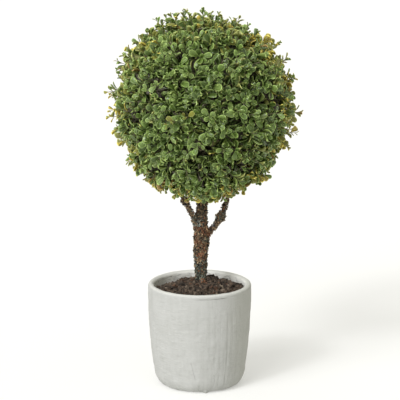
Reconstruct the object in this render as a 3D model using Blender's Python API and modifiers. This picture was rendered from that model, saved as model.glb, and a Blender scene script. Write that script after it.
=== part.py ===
"""Artificial boxwood topiary: a clipped ball of leaves on a forked stem, in a round cement pot.

For Blender 4.5. Lengths are in metres and +Z is up. The origin is the centre of the pot's flat
underside, and the view from the front looks along +Y.
"""

import math
import random

import bmesh
import bpy
from mathutils import Matrix, Vector, bvhtree, noise

MM = 0.001
CLEARANCE = 0.3 * MM  # air left between two solids that touch on the real object

# Pot
POT_HEIGHT = 122 * MM
RIM_RADIUS = 61 * MM
SHOULDER_RADIUS = 54 * MM  # where the wall turns into the rounded foot
FOOT_RADIUS = 41 * MM  # edge of the flat underside
FOOT_ROUND_HEIGHT = 20 * MM
WALL = 7.6 * MM
FLOOR = 10 * MM
WALL_BELLY = 2.2  # over 1, the wall rises steeper towards the rim
FOOT_CROWDING = 1.7  # over 1, the wall's rings crowd towards the rounded foot
CORNER_HEIGHT = 16 * MM  # where the inside's corner has risen to the wall
CORNER_INSET = 12 * MM  # from the outside, where the inside's corner leaves the floor
POT_SIDES = 48

# Soil
SOIL_EDGE_DEPTH = 7.5 * MM  # below the rim, where the soil meets the wall
GROUND = POT_HEIGHT + 4 * MM  # top of the mound, where the trunk is cut flat
FLAT_RADIUS = 13 * MM  # level ground round the trunk's foot
MOUND_BELLY = 1.4  # over 1, the mound falls away slowly at first
CRUMB = 1.3 * MM  # how far a crumb of soil stands up
CRUMB_PITCH = 9 * MM
CRUMB_ONSET = 6  # the crumbs reach full height this many times before the wall
SOIL_RINGS = 9

# Trunk
TRUNK_FOOT = GROUND + CLEARANCE
TRUNK_RADIUS = 6.5 * MM
TRUNK_TIP_RADIUS = 5.5 * MM
TRUNK_START_X = 1.4 * MM
TRUNK_LEAN = 1.6 * MM  # how far the tip stands to the right of the foot
TRUNK_SWAY = 1.4 * MM
FLARE = 2.6 * MM  # extra radius at the ground
FLARE_HEIGHT = 5 * MM
FORK_SWELL = 1.2 * MM
FORK_HEIGHT = 180 * MM
FORK_REACH = 26 * MM
ABOVE_FORK = 204 * MM  # where the stem is halfway down to its tip radius
NARROWING = 6.5 * MM  # how softly it narrows there
SOCKET_DEPTH = 12 * MM  # how far each limb runs into the core
COLLAR_AIR = 1.2 * MM  # a bough begins where its bark is this far from the trunk's
ROOT_START = Vector((3, -1, 133)) * MM  # the one root that shows, at the foot's front right
ROOT_END = Vector((5.5, -9.5, 129)) * MM
ROOT_RADIUS = 4.2 * MM
ROOT_END_RADIUS = 2.3 * MM
CAP_STEP = 0.004  # of a limb's length, between its end ring and the next
STUB_RADIUS = 3.4 * MM  # the cut twig on each bough's knot
STUB_TAPER = 1.2 * MM
STUB_STANDS_OUT = 1.4 * MM

# Ball of leaves
BALL_CENTRE = Vector((4.6, 0, 336.5)) * MM
BALL_REACH = 117 * MM
CORE_RADIUS = 88 * MM
CORE_LUMP = 3 * MM  # how far the core's surface strays from a sphere
CORE_LUMP_PITCH = 30 * MM
SPRAY_COUNT = 70
SPRAY_SEED = 14
SPRAY_ROOT = 78 * MM  # from the ball's centre, well inside the core
LEADER_LENGTH = (7 * MM, 11 * MM)  # least and most, out of the core
SIDE_LENGTH = (17 * MM, 22 * MM)
FORK_ABOVE_CORE = 2.3 * MM  # where a leader's side shoot leaves it
SIDE_RISE = 0.4  # of a side shoot's way outwards for each step sideways
SPRAY_TWIST = math.radians(25)  # either way, off the way that most sprays face
LEADER_NODES = (0.74, 0.86, 0.95)  # where the leaves sit, as shares of the shoot's length
SIDE_NODES = (0.5, 0.72, 0.93)
SHOOT_RADIUS = 1.7 * MM
SIDE_SHOOT_RADIUS = 1.4 * MM
SHOOT_TAPER = 0.75
TOP_LIFT = (14, 26)  # angle between a shoot and its top leaf, in degrees, least and most
LEAF_LIFT = (54, 76)
LEAF_SCALE = (0.86, 1)
TOP_SCALE = (0.6, 1.15)
LEAST_REACH = 0.95  # where a spray's top leaf ends, as a share of the ball's reach
MOST_REACH = 0.998
LEAF_LENGTH = 25 * MM  # larger than life, because the solid has fewer leaves
LEAF_WIDTH = 18 * MM
LEAF_BELLY = 0.64  # where the leaf is widest, as a share of its length
LEAF_THICKNESS = 0.9 * MM
LEAF_CUP = 2.4 * MM
LEAF_SINK = 0.35  # how far past the shoot's axis a stalk ends, in shoot radii
LEAF_SHRINKS = (1, 0.9, 0.8, 0.7)  # tried in turn where a leaf would leave its space
LIMB_AIR = 2.5 * MM  # leaves stay this far from the bark

GOLDEN_ANGLE = math.pi * (3 - math.sqrt(5))
UP = Vector((0, 0, 1))
COMPASS = [UP, Vector((1, 0, 0)), Vector((-1, 0, 0)), Vector((0, 1, 0)), Vector((0, -1, 0))]
COMPASS_ROOM = math.cos(math.radians(15))  # no other spray grows this near one of these

# Each bough: the trunk's point it leaves, its two elbows, its tip's direction from the ball's centre,
# its radii, and its knot as (share of its length, extra radius, half length).
BOUGHS = {
    "left_bough": {
        "root": Vector((-2.5, -2.5, 188)) * MM,
        "elbow": Vector((-9, -5, 213)) * MM,
        "upper_elbow": Vector((-27, -7, 235)) * MM,
        "tip_direction": Vector((-41.5, -8, -66)),
        "radius": 4 * MM,
        "tip_radius": 2.2 * MM,
        "knot": (0.46, 1.8 * MM, 4.5 * MM),
        "stub": Vector((-1, -0.2, 0.1)),
    },
    "right_bough": {
        "root": Vector((5.4, 1, 179)) * MM,
        "elbow": Vector((30, 3, 193)) * MM,
        "upper_elbow": Vector((32, 4, 225)) * MM,
        "tip_direction": Vector((41, 5, -64)),
        "radius": 4.2 * MM,
        "tip_radius": 2.5 * MM,
        "knot": (0.39, 2.4 * MM, 6 * MM),
        "stub": Vector((1, 0.3, 0.1)),
    },
}


def clear_scene():
    for obj in list(bpy.data.objects):
        bpy.data.objects.remove(obj)


def new_collection(name, parent=None, rendered=True):
    collection = bpy.data.collections.new(name)
    (parent or bpy.context.scene.collection).children.link(collection)
    collection.hide_render = not rendered
    return collection


def principled(name, colour, roughness):
    """A plain Principled BSDF. Nothing on this object is metal."""
    material = bpy.data.materials.new(name)
    material.use_nodes = True
    shader = material.node_tree.nodes["Principled BSDF"]
    shader.inputs["Base Color"].default_value = (*colour, 1)
    shader.inputs["Roughness"].default_value = roughness
    shader.inputs["Metallic"].default_value = 0
    return material


def add_object(name, mesh, collection, matrix=None):
    obj = bpy.data.objects.new(name, mesh)
    collection.objects.link(obj)
    if matrix is not None:
        obj.matrix_world = matrix
    return obj


def bake_modifiers(obj):
    """Gives obj the mesh that its modifiers make, and drops the modifiers."""
    bpy.context.view_layer.update()
    evaluated = obj.evaluated_get(bpy.context.evaluated_depsgraph_get())
    mesh = bpy.data.meshes.new_from_object(evaluated)
    obj.modifiers.clear()
    obj.data = mesh


def boolean(obj, collection, operation, solver="EXACT"):
    """Joins a collection's solids to obj, or cuts them from it, and then removes them."""
    modifier = obj.modifiers.new(operation.title(), "BOOLEAN")
    modifier.operation = operation
    modifier.solver = solver
    modifier.operand_type = "COLLECTION"
    modifier.collection = collection
    bake_modifiers(obj)
    for other in list(collection.objects):
        bpy.data.objects.remove(other)
    bpy.data.collections.remove(collection)


def islands(bm):
    """The mesh's separate shells, as lists of faces."""
    waiting = set(bm.faces)
    while waiting:
        shell = []
        front = [waiting.pop()]
        while front:
            face = front.pop()
            shell.append(face)
            near = {other for edge in face.edges for other in edge.link_faces} & waiting
            waiting -= near
            front += near
        yield shell


def keep_outer_shell(obj):
    """Fills the hollows that a union sealed and drops loose scraps: only the largest shell stays."""
    bm = bmesh.new()
    bm.from_mesh(obj.data)
    shells = sorted(islands(bm), key=len)
    spare = [face for shell in shells[:-1] for face in shell]
    bmesh.ops.delete(bm, geom=spare, context="FACES")
    bm.to_mesh(obj.data)
    bm.free()


def shade(obj, material, angle=math.radians(50)):
    obj.data.materials.clear()
    obj.data.materials.append(material)
    obj.data.shade_smooth()
    obj.data.set_sharp_from_angle(angle=angle)


def turned(name, profile, collection):
    """A solid of revolution. The profile holds (radius, height) pairs and runs down the outer side."""
    mesh = bpy.data.meshes.new(name)
    points = [(radius, 0, height) for radius, height in profile]
    mesh.from_pydata(points, [(i, i + 1) for i in range(len(points) - 1)], [])
    obj = add_object(name, mesh, collection)
    screw = obj.modifiers.new("Turn", "SCREW")
    screw.axis = "Z"
    screw.steps = POT_SIDES
    screw.render_steps = POT_SIDES
    screw.use_merge_vertices = True
    screw.merge_threshold = 0.01 * MM
    bake_modifiers(obj)
    return obj


def wall_radius(height):
    """The pot's outer radius: a rounded foot (quarter ellipse), then a wall that leans out less and less."""
    if height < FOOT_ROUND_HEIGHT:
        drop = 1 - height / FOOT_ROUND_HEIGHT
        return FOOT_RADIUS + (SHOULDER_RADIUS - FOOT_RADIUS) * math.sqrt(1 - drop * drop)
    rise = (height - FOOT_ROUND_HEIGHT) / (POT_HEIGHT - FOOT_ROUND_HEIGHT)
    return RIM_RADIUS - (RIM_RADIUS - SHOULDER_RADIUS) * (1 - min(rise, 1)) ** WALL_BELLY


def between(start, end, count, bias=1.0):
    """count values from start to end. A bias over 1 crowds them near the start."""
    return [start + (end - start) * (i / (count - 1)) ** bias for i in range(count)]


def build_pot(collection, material):
    lip = WALL / 2
    lip_height = POT_HEIGHT - lip
    inner = [(0, FLOOR), (wall_radius(FLOOR) - CORNER_INSET, FLOOR)]
    inner += [(wall_radius(h) - WALL, h) for h in between(CORNER_HEIGHT, lip_height, 5)]
    middle = wall_radius(lip_height) - lip
    lip_arc = [
        (middle - lip * math.cos(a), lip_height + lip * math.sin(a))
        for a in between(0, math.pi, 7)[1:-1]
    ]
    outer = [(wall_radius(h), h) for h in reversed(between(0, lip_height, 15, bias=FOOT_CROWDING))]
    pot = turned("pot", inner + lip_arc + outer + [(0, 0)], collection)
    shade(pot, material)
    return pot


def soil_height(x, y):
    """Height of the soil: a low mound, level round the trunk's foot and crumbly outside it."""
    rim = wall_radius(POT_HEIGHT) - WALL
    away = math.hypot(x, y)
    share = min(1, max(0, (away - FLAT_RADIUS) / (rim - FLAT_RADIUS)))
    drop = POT_HEIGHT - SOIL_EDGE_DEPTH - GROUND
    crumbs = noise.noise(Vector((x, y, 0)) / CRUMB_PITCH + UP) * CRUMB * min(1, share * CRUMB_ONSET)
    return GROUND + drop * share**MOUND_BELLY + crumbs


def build_soil(collection, material):
    """The filling: it follows the pot's inside with a hair of air, and its top is the mound."""
    edge_height = POT_HEIGHT - SOIL_EDGE_DEPTH
    edge_radius = wall_radius(edge_height) - WALL - CLEARANCE
    floor = FLOOR + CLEARANCE
    top = [(r, GROUND) for r in between(0, edge_radius, SOIL_RINGS)[:-1]]
    side = [
        (wall_radius(h) - WALL - CLEARANCE, h)
        for h in reversed(between(CORNER_HEIGHT, edge_height, 5))
    ]
    bottom = [(wall_radius(FLOOR) - CORNER_INSET - CLEARANCE, floor), (0, floor)]
    soil = turned("soil", top + side + bottom, collection)
    for vertex in soil.data.vertices:
        x, y, z = vertex.co
        if z > GROUND - 0.01 * MM:
            vertex.co.z = soil_height(x, y)
    shade(soil, material)
    return soil


def bezier(p0, p1, p2, p3, t):
    """A point on the cubic curve that starts at p0, is pulled by p1 and p2, and ends at p3."""
    s = 1 - t
    return p0 * s**3 + p1 * (3 * s * s * t) + p2 * (3 * s * t * t) + p3 * t**3


def bump(distance, half_length):
    """1 at the middle of a swelling, falling smoothly to 0 away from it."""
    return math.exp(-((distance / half_length) ** 2))


def trunk_top():
    """Height of the trunk's tip, which stands in a socket in the core."""
    return BALL_CENTRE.z - CORE_RADIUS + SOCKET_DEPTH


def trunk_axis(t):
    height = TRUNK_FOOT + t * (trunk_top() - TRUNK_FOOT)
    sway = TRUNK_SWAY * t * math.sin(2 * math.pi * t)
    return Vector((TRUNK_START_X + TRUNK_LEAN * t * t - sway, -sway / 2, height))


def trunk_radius(t):
    height = trunk_axis(t).z
    flare = FLARE * math.exp(-(height - GROUND) / FLARE_HEIGHT)
    above_fork = 1 / (1 + math.exp((ABOVE_FORK - height) / NARROWING))
    swell = FORK_SWELL * bump(height - FORK_HEIGHT, FORK_REACH)
    return TRUNK_RADIUS - (TRUNK_RADIUS - TRUNK_TIP_RADIUS) * above_fork + flare + swell


def bough_axis(bough):
    tip = BALL_CENTRE + bough["tip_direction"].normalized() * (CORE_RADIUS - SOCKET_DEPTH / 2)
    return lambda t: bezier(bough["root"], bough["elbow"], bough["upper_elbow"], tip, t)


def bough_radius(bough):
    at, extra, half_length = bough["knot"]
    axis = bough_axis(bough)
    length = sum((axis((i + 1) / 20) - axis(i / 20)).length for i in range(20))

    def radius(t):
        taper = bough["radius"] + (bough["tip_radius"] - bough["radius"]) * t
        return taper + extra * bump((t - at) * length, half_length)

    return radius


def limb(name, axis, radius, collection, rings, sides=10, start=0.0, end=1.0, widen=0.0):
    """A tube along axis(t) with radius(t), from t = start to end, made of a bevelled curve.

    The second ring from each end is very near the end, so that the flat caps lie square to the axis.
    """
    curve = bpy.data.curves.new(name, "CURVE")
    curve.dimensions = "3D"
    curve.bevel_depth = 1.0
    curve.bevel_resolution = sides // 2 - 2
    curve.use_fill_caps = True
    spline = curve.splines.new("POLY")
    spline.points.add(rings - 1)
    places = between(start, end, rings)
    places[1] = start + CAP_STEP
    places[-2] = end - CAP_STEP
    for point, t in zip(spline.points, places):
        point.co = (*axis(t), 1)
        point.radius = radius(t) + widen
    obj = add_object(name, curve, collection)
    bpy.context.view_layer.update()
    mesh = bpy.data.meshes.new_from_object(obj.evaluated_get(bpy.context.evaluated_depsgraph_get()))
    bpy.data.objects.remove(obj)
    bm = bmesh.new()
    bm.from_mesh(mesh)
    bmesh.ops.remove_doubles(bm, verts=bm.verts, dist=0.001 * MM)
    bmesh.ops.recalc_face_normals(bm, faces=bm.faces)
    bm.to_mesh(mesh)
    bm.free()
    return add_object(name, mesh, collection)


def along_limb(axis, radius, steps=60):
    """Points along a limb with the bark's radius at each."""
    return [(axis(i / steps), radius(i / steps)) for i in range(steps + 1)]


def collar_end(bough):
    """The bough's t where it is clear of the trunk: its collar stops there and the bough begins."""
    stem = along_limb(trunk_axis, trunk_radius)
    for i, (point, thickness) in enumerate(along_limb(bough_axis(bough), bough_radius(bough), 200)):
        if all((point - at).length > radius + thickness + COLLAR_AIR for at, radius in stem):
            return i / 200
    raise ValueError("the bough never leaves the trunk")


def build_trunk(collection, material):
    """The stem from its flat cut on the soil to its tip, with a collar for each bough and a root."""
    trunk = limb("trunk", trunk_axis, trunk_radius, collection, rings=26, sides=14)
    for vertex in trunk.data.vertices:
        if vertex.co.z < TRUNK_FOOT + CLEARANCE:
            vertex.co.z = TRUNK_FOOT
    collars = new_collection("collars")
    for name, bough in BOUGHS.items():
        end = collar_end(bough)
        limb(name + "_collar", bough_axis(bough), bough_radius(bough), collars, 6, 10, 0, end)
    limb(
        "root",
        lambda t: ROOT_START.lerp(ROOT_END, t),
        lambda t: ROOT_RADIUS + (ROOT_END_RADIUS - ROOT_RADIUS) * t,
        collars,
        rings=4,
        sides=8,
    )
    boolean(trunk, collars, "UNION")
    shade(trunk, material)
    return trunk


def build_bough(name, bough, collection, material):
    """A tapering limb from the trunk's collar to its socket in the core, with a knot and a cut stub."""
    axis = bough_axis(bough)
    radius = bough_radius(bough)
    start = collar_end(bough)
    start += CLEARANCE / (axis(start + 0.01) - axis(start)).length * 0.01
    obj = limb(name, axis, radius, collection, rings=18, sides=10, start=start)
    at = bough["knot"][0]
    direction = bough["stub"].normalized()
    stubs = new_collection(name + "_stubs")
    limb(
        name + "_stub",
        lambda t: axis(at) + direction * (radius(at) + STUB_STANDS_OUT) * t,
        lambda t: STUB_RADIUS - STUB_TAPER * t,
        stubs,
        rings=4,
        sides=8,
    )
    boolean(obj, stubs, "UNION")
    shade(obj, material)
    return obj


def limb_samples():
    """Points along every limb with the bark's radius there, for keeping leaves off the bark."""
    samples = along_limb(trunk_axis, trunk_radius)
    for bough in BOUGHS.values():
        samples += along_limb(bough_axis(bough), bough_radius(bough))
    return samples


def leaf_mesh():
    """A leaf of 8 faces along +X: an octahedron drawn out to a stalk and a round tip, and cupped."""
    bm = bmesh.new()
    bmesh.ops.create_uvsphere(bm, u_segments=4, v_segments=2, radius=1)
    for vertex in bm.verts:
        x, y, z = vertex.co
        along = (x + 1) / 2 if abs(x) > 0.5 else LEAF_BELLY
        dip = LEAF_CUP * (abs(z) + 0.5 * max(x, 0))
        vertex.co = (
            along * LEAF_LENGTH,
            y * LEAF_WIDTH / 2,
            z * LEAF_THICKNESS / 2 - dip,
        )
    bmesh.ops.recalc_face_normals(bm, faces=bm.faces)
    mesh = bpy.data.meshes.new("leaf")
    bm.to_mesh(mesh)
    bm.free()
    return mesh


def shoot_mesh():
    """A three-sided shoot of unit length and radius along +Z, thinner at its end."""
    bm = bmesh.new()
    bmesh.ops.create_cone(
        bm,
        cap_ends=True,
        segments=3,
        radius1=1,
        radius2=SHOOT_TAPER,
        depth=1,
        matrix=Matrix.Translation((0, 0, 0.5)),
    )
    mesh = bpy.data.meshes.new("shoot")
    bm.to_mesh(mesh)
    bm.free()
    return mesh


class Shoot:
    """A straight three-sided shoot. Its corner is on +Y, so its faces look 60, 180 and 300 degrees round."""

    def __init__(self, start, end, radius, roll):
        self.start = start
        self.along = (end - start).normalized()
        self.length = (end - start).length
        self.radius = radius
        self.turn = self.along.to_track_quat("Z", "Y").to_matrix() @ Matrix.Rotation(roll, 3, "Z")

    def at(self, share):
        return self.start + self.along * self.length * share

    def face(self, number):
        """The outward direction of one of the three faces."""
        return self.turn @ Matrix.Rotation(math.radians(60 + 120 * number), 3, "Z") @ Vector((0, 1, 0))

    def matrix(self):
        scale = Matrix.Diagonal((self.radius, self.radius, self.length, 1))
        return Matrix.Translation(self.start) @ self.turn.to_4x4() @ scale

    def leaf(self, share, number, lift, scale=None, reach=0.0):
        """The matrix of a leaf that leaves one face at the angle lift, with its upper face inwards.

        Without a scale, the leaf is as long as it takes to end at the distance reach from the ball's centre.
        """
        side = self.face(number)
        along = self.along * math.cos(lift) + side * math.sin(lift)
        upper = self.along * math.sin(lift) - side * math.cos(lift)
        turn = Matrix((along, upper.cross(along), upper)).transposed().to_4x4()
        base = self.at(share) - side * self.radius * LEAF_SINK
        if scale is None:
            arm = base - BALL_CENTRE
            inward = arm.dot(along)
            length = math.sqrt(max(0, inward * inward + reach * reach - arm.length_squared)) - inward
            scale = min(max(length / LEAF_LENGTH, TOP_SCALE[0]), TOP_SCALE[1])
        return Matrix.Translation(base) @ turn @ Matrix.Scale(scale, 4)


def spray(rng, direction, reach):
    """One spray: a leader out of the core with a side shoot, as (shoot, [leaf matrices]) pairs.

    Both shoots carry leaves on their three faces in turn, each a little above the last, and the top
    leaf almost follows the shoot out to the ball's surface.
    """
    root = BALL_CENTRE + direction * SPRAY_ROOT
    tip = BALL_CENTRE + direction * (CORE_RADIUS + rng.uniform(*LEADER_LENGTH))
    leader = Shoot(root, tip, SHOOT_RADIUS, rng.uniform(-SPRAY_TWIST, SPRAY_TWIST))
    node = leader.at((CORE_RADIUS + FORK_ABOVE_CORE - SPRAY_ROOT) / leader.length)
    away = (leader.along * SIDE_RISE + leader.face(2)).normalized()
    side_end = node + away * rng.uniform(*SIDE_LENGTH)
    side_shoot = Shoot(node, side_end, SIDE_SHOOT_RADIUS, rng.uniform(0, math.tau))
    grown = []
    for shoot, shares in ((leader, LEADER_NODES), (side_shoot, SIDE_NODES)):
        leaves = []
        for number, share in enumerate(shares[:-1]):
            lift = math.radians(rng.uniform(*LEAF_LIFT))
            leaves.append(shoot.leaf(share, number, lift, rng.uniform(*LEAF_SCALE)))
        lift = math.radians(rng.uniform(*TOP_LIFT))
        leaves.append(shoot.leaf(shares[-1], len(shares) - 1, lift, reach=reach))
        grown.append((shoot, leaves))
    return grown


def faces_in_place(mesh, matrix):
    """A search tree of the mesh's faces where matrix puts them, for finding what they touch."""
    points = [matrix @ vertex.co for vertex in mesh.vertices]
    return bvhtree.BVHTree.FromPolygons(points, [tuple(face.vertices) for face in mesh.polygons])


def spots(mesh):
    """The mesh's corners, with the middles of its edges and faces: close enough together to find a limb."""
    corners = [vertex.co.copy() for vertex in mesh.vertices]
    edges = [(corners[a] + corners[b]) / 2 for a, b in (edge.vertices for edge in mesh.edges)]
    return corners + edges + [face.center.copy() for face in mesh.polygons]


class Space:
    """The ball's own space: inside its reach, off the limbs' bark and off what already grows there."""

    def __init__(self, limbs):
        self.limbs = limbs
        self.taken = []

    def allows(self, points):
        for point in points:
            if (point - BALL_CENTRE).length > BALL_REACH:
                return False
            if any((point - at).length < radius + LIMB_AIR for at, radius in self.limbs):
                return False
        return True

    def is_free(self, middle, tree, own_shoot):
        for other_middle, other_tree, shoot in self.taken:
            near = (other_middle - middle).length < LEAF_LENGTH * 1.6
            if near and shoot is not own_shoot and tree.overlap(other_tree):
                return False
        return True

    def take(self, middle, tree, shoot):
        self.taken.append((middle, tree, shoot))


def sphere_directions(count, rng):
    """The top and four sides, then directions spread evenly along a golden spiral, each nudged a little."""
    yield from COMPASS
    for i in range(count):
        height = 1 - (2 * i + 1) / count
        ring = math.sqrt(1 - height * height)
        turn = i * GOLDEN_ANGLE
        nudge = Vector([rng.uniform(-0.05, 0.05) for _ in range(3)])
        spread = (Vector((ring * math.cos(turn), ring * math.sin(turn), height)) + nudge).normalized()
        if all(spread.dot(taken) < COMPASS_ROOM for taken in COMPASS):
            yield spread


def build_core(collection):
    """The dense middle of the ball, with a socket for each limb's tip."""
    bm = bmesh.new()
    bmesh.ops.create_icosphere(bm, subdivisions=3, radius=CORE_RADIUS)
    for vertex in bm.verts:
        vertex.co *= 1 + CORE_LUMP / CORE_RADIUS * noise.noise(vertex.co / CORE_LUMP_PITCH)
    mesh = bpy.data.meshes.new("foliage_ball")
    bm.to_mesh(mesh)
    bm.free()
    core = add_object("foliage_ball", mesh, collection, Matrix.Translation(BALL_CENTRE))
    sockets = new_collection("sockets", rendered=False)
    lines = [(trunk_axis, trunk_radius)]
    lines += [(bough_axis(b), bough_radius(b)) for b in BOUGHS.values()]
    for i, (axis, radius) in enumerate(lines):
        overrun = CLEARANCE / (axis(1) - axis(0.9)).length * 0.1
        cutter = limb(f"socket_{i}", axis, radius, sockets, 12, 12, 0.6, 1 + overrun, 2 * CLEARANCE)
        cutter.hide_render = True
        cutter.display_type = "WIRE"
    boolean(core, sockets, "DIFFERENCE")
    return core


def build_foliage(collection, material):
    """The clipped ball: sprays of shoots and leaves, joined to the core they stand out of."""
    rng = random.Random(SPRAY_SEED)
    space = Space(limb_samples())
    blade = leaf_mesh()
    stick = shoot_mesh()
    tested = spots(blade)
    growth = new_collection("growth")
    leaf_count = 0
    waiting = []
    for direction in sphere_directions(SPRAY_COUNT, rng):
        reach = BALL_REACH * (MOST_REACH if direction in COMPASS else rng.uniform(LEAST_REACH, MOST_REACH))
        for shoot, leaves in spray(rng, direction, reach):
            if not space.allows([shoot.at(i / 4) for i in range(5)]):
                break
            add_object("shoot", stick, growth, shoot.matrix())
            space.take(shoot.at(0.5), faces_in_place(stick, shoot.matrix()), shoot)
            waiting += [(shoot, matrix) for matrix in leaves]
    for shoot, matrix in waiting:
        for shrink in LEAF_SHRINKS:
            tried = matrix @ Matrix.Scale(shrink, 4)
            tree = faces_in_place(blade, tried)
            middle = tried @ Vector((LEAF_LENGTH / 2, 0, 0))
            if space.allows([tried @ spot for spot in tested]) and space.is_free(middle, tree, shoot):
                add_object("leaf", blade, growth, tried)
                space.take(middle, tree, None)
                leaf_count += 1
                break
    core = build_core(collection)
    boolean(core, growth, "UNION", solver="MANIFOLD")
    keep_outer_shell(core)
    shade(core, material, angle=math.radians(25))
    print(f"foliage: {leaf_count} leaves of {len(waiting)} tried")
    return core


def main():
    clear_scene()
    part = new_collection("potted_boxwood_topiary")
    cement = principled("whitewashed_cement", (0.60, 0.61, 0.57), 0.85)
    earth = principled("potting_soil", (0.07, 0.05, 0.035), 0.95)
    bark = principled("rough_bark", (0.11, 0.08, 0.055), 0.9)
    leaf = principled("boxwood_leaf", (0.10, 0.20, 0.05), 0.45)
    build_pot(part, cement)
    build_soil(part, earth)
    build_trunk(part, bark)
    for name, bough in BOUGHS.items():
        build_bough(name, bough, part, bark)
    build_foliage(part, leaf)


main()
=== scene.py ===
# %% [markdown]
# # An artificial boxwood ball in a cement pot
#
# The object is a table topiary: moulded plastic leaves in a clipped ball, a stem of crumbly made bark
# that forks in three, made soil, and a round pot of whitewashed cement. The frame holds its solids at
# their real size. This lesson gives each of them its finished surface: one cell explains a piece, and
# the next one makes it. Lengths are in metres, +Z is up and the front faces -Y.

# %% Load the fixed frame
import math

import bpy
import numpy as np
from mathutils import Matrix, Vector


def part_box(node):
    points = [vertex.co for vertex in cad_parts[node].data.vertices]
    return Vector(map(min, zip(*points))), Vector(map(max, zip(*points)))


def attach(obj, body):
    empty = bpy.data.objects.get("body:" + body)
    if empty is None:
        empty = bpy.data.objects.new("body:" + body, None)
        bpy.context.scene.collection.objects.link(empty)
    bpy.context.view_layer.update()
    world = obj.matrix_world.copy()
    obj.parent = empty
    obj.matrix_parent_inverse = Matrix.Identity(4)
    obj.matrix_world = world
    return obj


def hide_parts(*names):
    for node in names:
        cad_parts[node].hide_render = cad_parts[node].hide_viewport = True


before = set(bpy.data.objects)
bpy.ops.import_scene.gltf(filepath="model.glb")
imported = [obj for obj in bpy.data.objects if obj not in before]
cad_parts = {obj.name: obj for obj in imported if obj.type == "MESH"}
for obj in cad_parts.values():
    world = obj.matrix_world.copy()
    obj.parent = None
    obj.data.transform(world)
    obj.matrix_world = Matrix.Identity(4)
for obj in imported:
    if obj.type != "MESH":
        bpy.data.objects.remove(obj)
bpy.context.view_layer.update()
MM = 0.001
print("frame nodes:", sorted(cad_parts))

# %% [markdown]
# ## Sizes
#
# The frame says where the pot, the soil, the trunk and the ball are, so their sizes are read from it.
# The few values that a box can't tell, such as the pot's wall or how far a bough bends, are the
# source's own and are repeated here by name.

# %% Read the sizes from the frame
pot_low, pot_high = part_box("pot")
soil_low, soil_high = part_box("soil")
trunk_low, trunk_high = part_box("trunk")
ball_low, ball_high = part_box("foliage_ball")

POT_HEIGHT = pot_high.z
RIM_RADIUS = pot_high.x
GROUND = soil_high.z
BALL_REACH = (ball_high.x - ball_low.x) / 2
BALL_CENTRE = np.array([(ball_low.x + ball_high.x) / 2, 0, ball_high.z - BALL_REACH])
print(f"pot {POT_HEIGHT * 1000:.0f} mm high, ball {BALL_REACH * 2000:.0f} mm across")

# %% [markdown]
# ## Numbers for whole arrays
#
# Every surface here is worked out as one array of points. These helpers do the arithmetic that comes
# back again and again: directions, soft steps, and three kinds of noise. The noise is written out
# instead of taken from a texture, because the same lumps must shape the mesh itself.

# %% Array helpers
def unit(rows):
    """Each row divided by its length."""
    return rows / np.maximum(np.linalg.norm(rows, axis=-1, keepdims=True), 1e-12)


def soft_step(low, high, x):
    """0 below low, 1 above high, and 3t^2 - 2t^3 between them, where t is the share of the way."""
    t = np.clip((x - low) / (high - low), 0, 1)
    return t * t * (3 - 2 * t)


def hump(x, width):
    """A bell: e to the power of minus the square of x over width."""
    return np.exp(-((x / width) ** 2))


def scramble(cells, seed):
    """A number from 0 to 1 for each whole-numbered point, by multiplying and folding its bits."""
    c = cells.astype(np.int64)
    h = (c[..., 0] * 374761393 + c[..., 1] * 668265263 + c[..., 2] * 1440662683 + seed * 974634777) & 0xFFFFFFFF
    h = ((h ^ (h >> 13)) * 1274126177) & 0xFFFFFFFF
    h = ((h ^ (h >> 15)) * 668265263) & 0xFFFFFFFF
    return ((h ^ (h >> 16)) & 0xFFFFFF) / 0xFFFFFF


def noise(points, pitch, seed=0):
    """Smooth noise from -1 to 1: random values on a grid of that pitch, blended by soft steps between."""
    p = np.asarray(points) / pitch
    base = np.floor(p)
    t = p - base
    t = t * t * (3 - 2 * t)
    total = 0
    for corner in np.ndindex(2, 2, 2):
        weight = np.prod(np.where(np.array(corner) == 1, t, 1 - t), axis=-1)
        total = total + weight * scramble(base + np.array(corner), seed)
    return total * 2 - 1


def layered_noise(points, pitch, seed=0, layers=3):
    """Noise plus half as much at half the pitch, and so on."""
    return sum(noise(points, pitch / 2**i, seed + i) / 2**i for i in range(layers))


def cells(points, pitch, seed=0):
    """Each point's distance to the nearest of many scattered seeds, to the next one, and the seed's number.

    One seed lies at a random place in each cube of the grid, so only the 27 cubes around are searched.
    """
    p = np.asarray(points) / pitch
    base = np.floor(p)
    nearest = np.full(len(p), 9.0)
    second = np.full(len(p), 9.0)
    number = np.zeros(len(p))
    for step in np.ndindex(3, 3, 3):
        cube = base + np.array(step) - 1
        spot = cube + np.stack([scramble(cube, seed + i) for i in range(3)], axis=-1)
        away = np.linalg.norm(spot - p, axis=-1)
        closer = away < nearest
        second = np.where(closer, nearest, np.minimum(second, away))
        number = np.where(closer, scramble(cube, seed + 7), number)
        nearest = np.minimum(nearest, away)
    return nearest * pitch, second * pitch, number


# %% [markdown]
# ## From arrays to a piece
#
# `add_piece` puts points and faces into a mesh with `foreach_set`, which copies a whole array at once.
# Closed pieces must have their faces pointing out. The signed volume, summed over all triangles, tells:
# if it is negative, every face is turned round.

# %% Make a mesh from arrays
def flat_faces(faces):
    """Quads and triangles as one run of corner numbers, with the place where each face starts."""
    corners = np.concatenate([f.ravel() for f in faces])
    sizes = np.concatenate([np.full(len(f), f.shape[1]) for f in faces])
    return corners, np.concatenate([[0], np.cumsum(sizes)[:-1]])


def signed_volume(points, faces):
    """A sixth of the sum of a . (b x c) over triangles a, b, c: positive when they face outwards."""
    total = 0
    for f in faces:
        for k in range(1, f.shape[1] - 1):
            a, b, c = points[f[:, 0]], points[f[:, k]], points[f[:, k + 1]]
            total += np.einsum("ij,ij->i", a, np.cross(b, c)).sum() / 6
    return total


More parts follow.
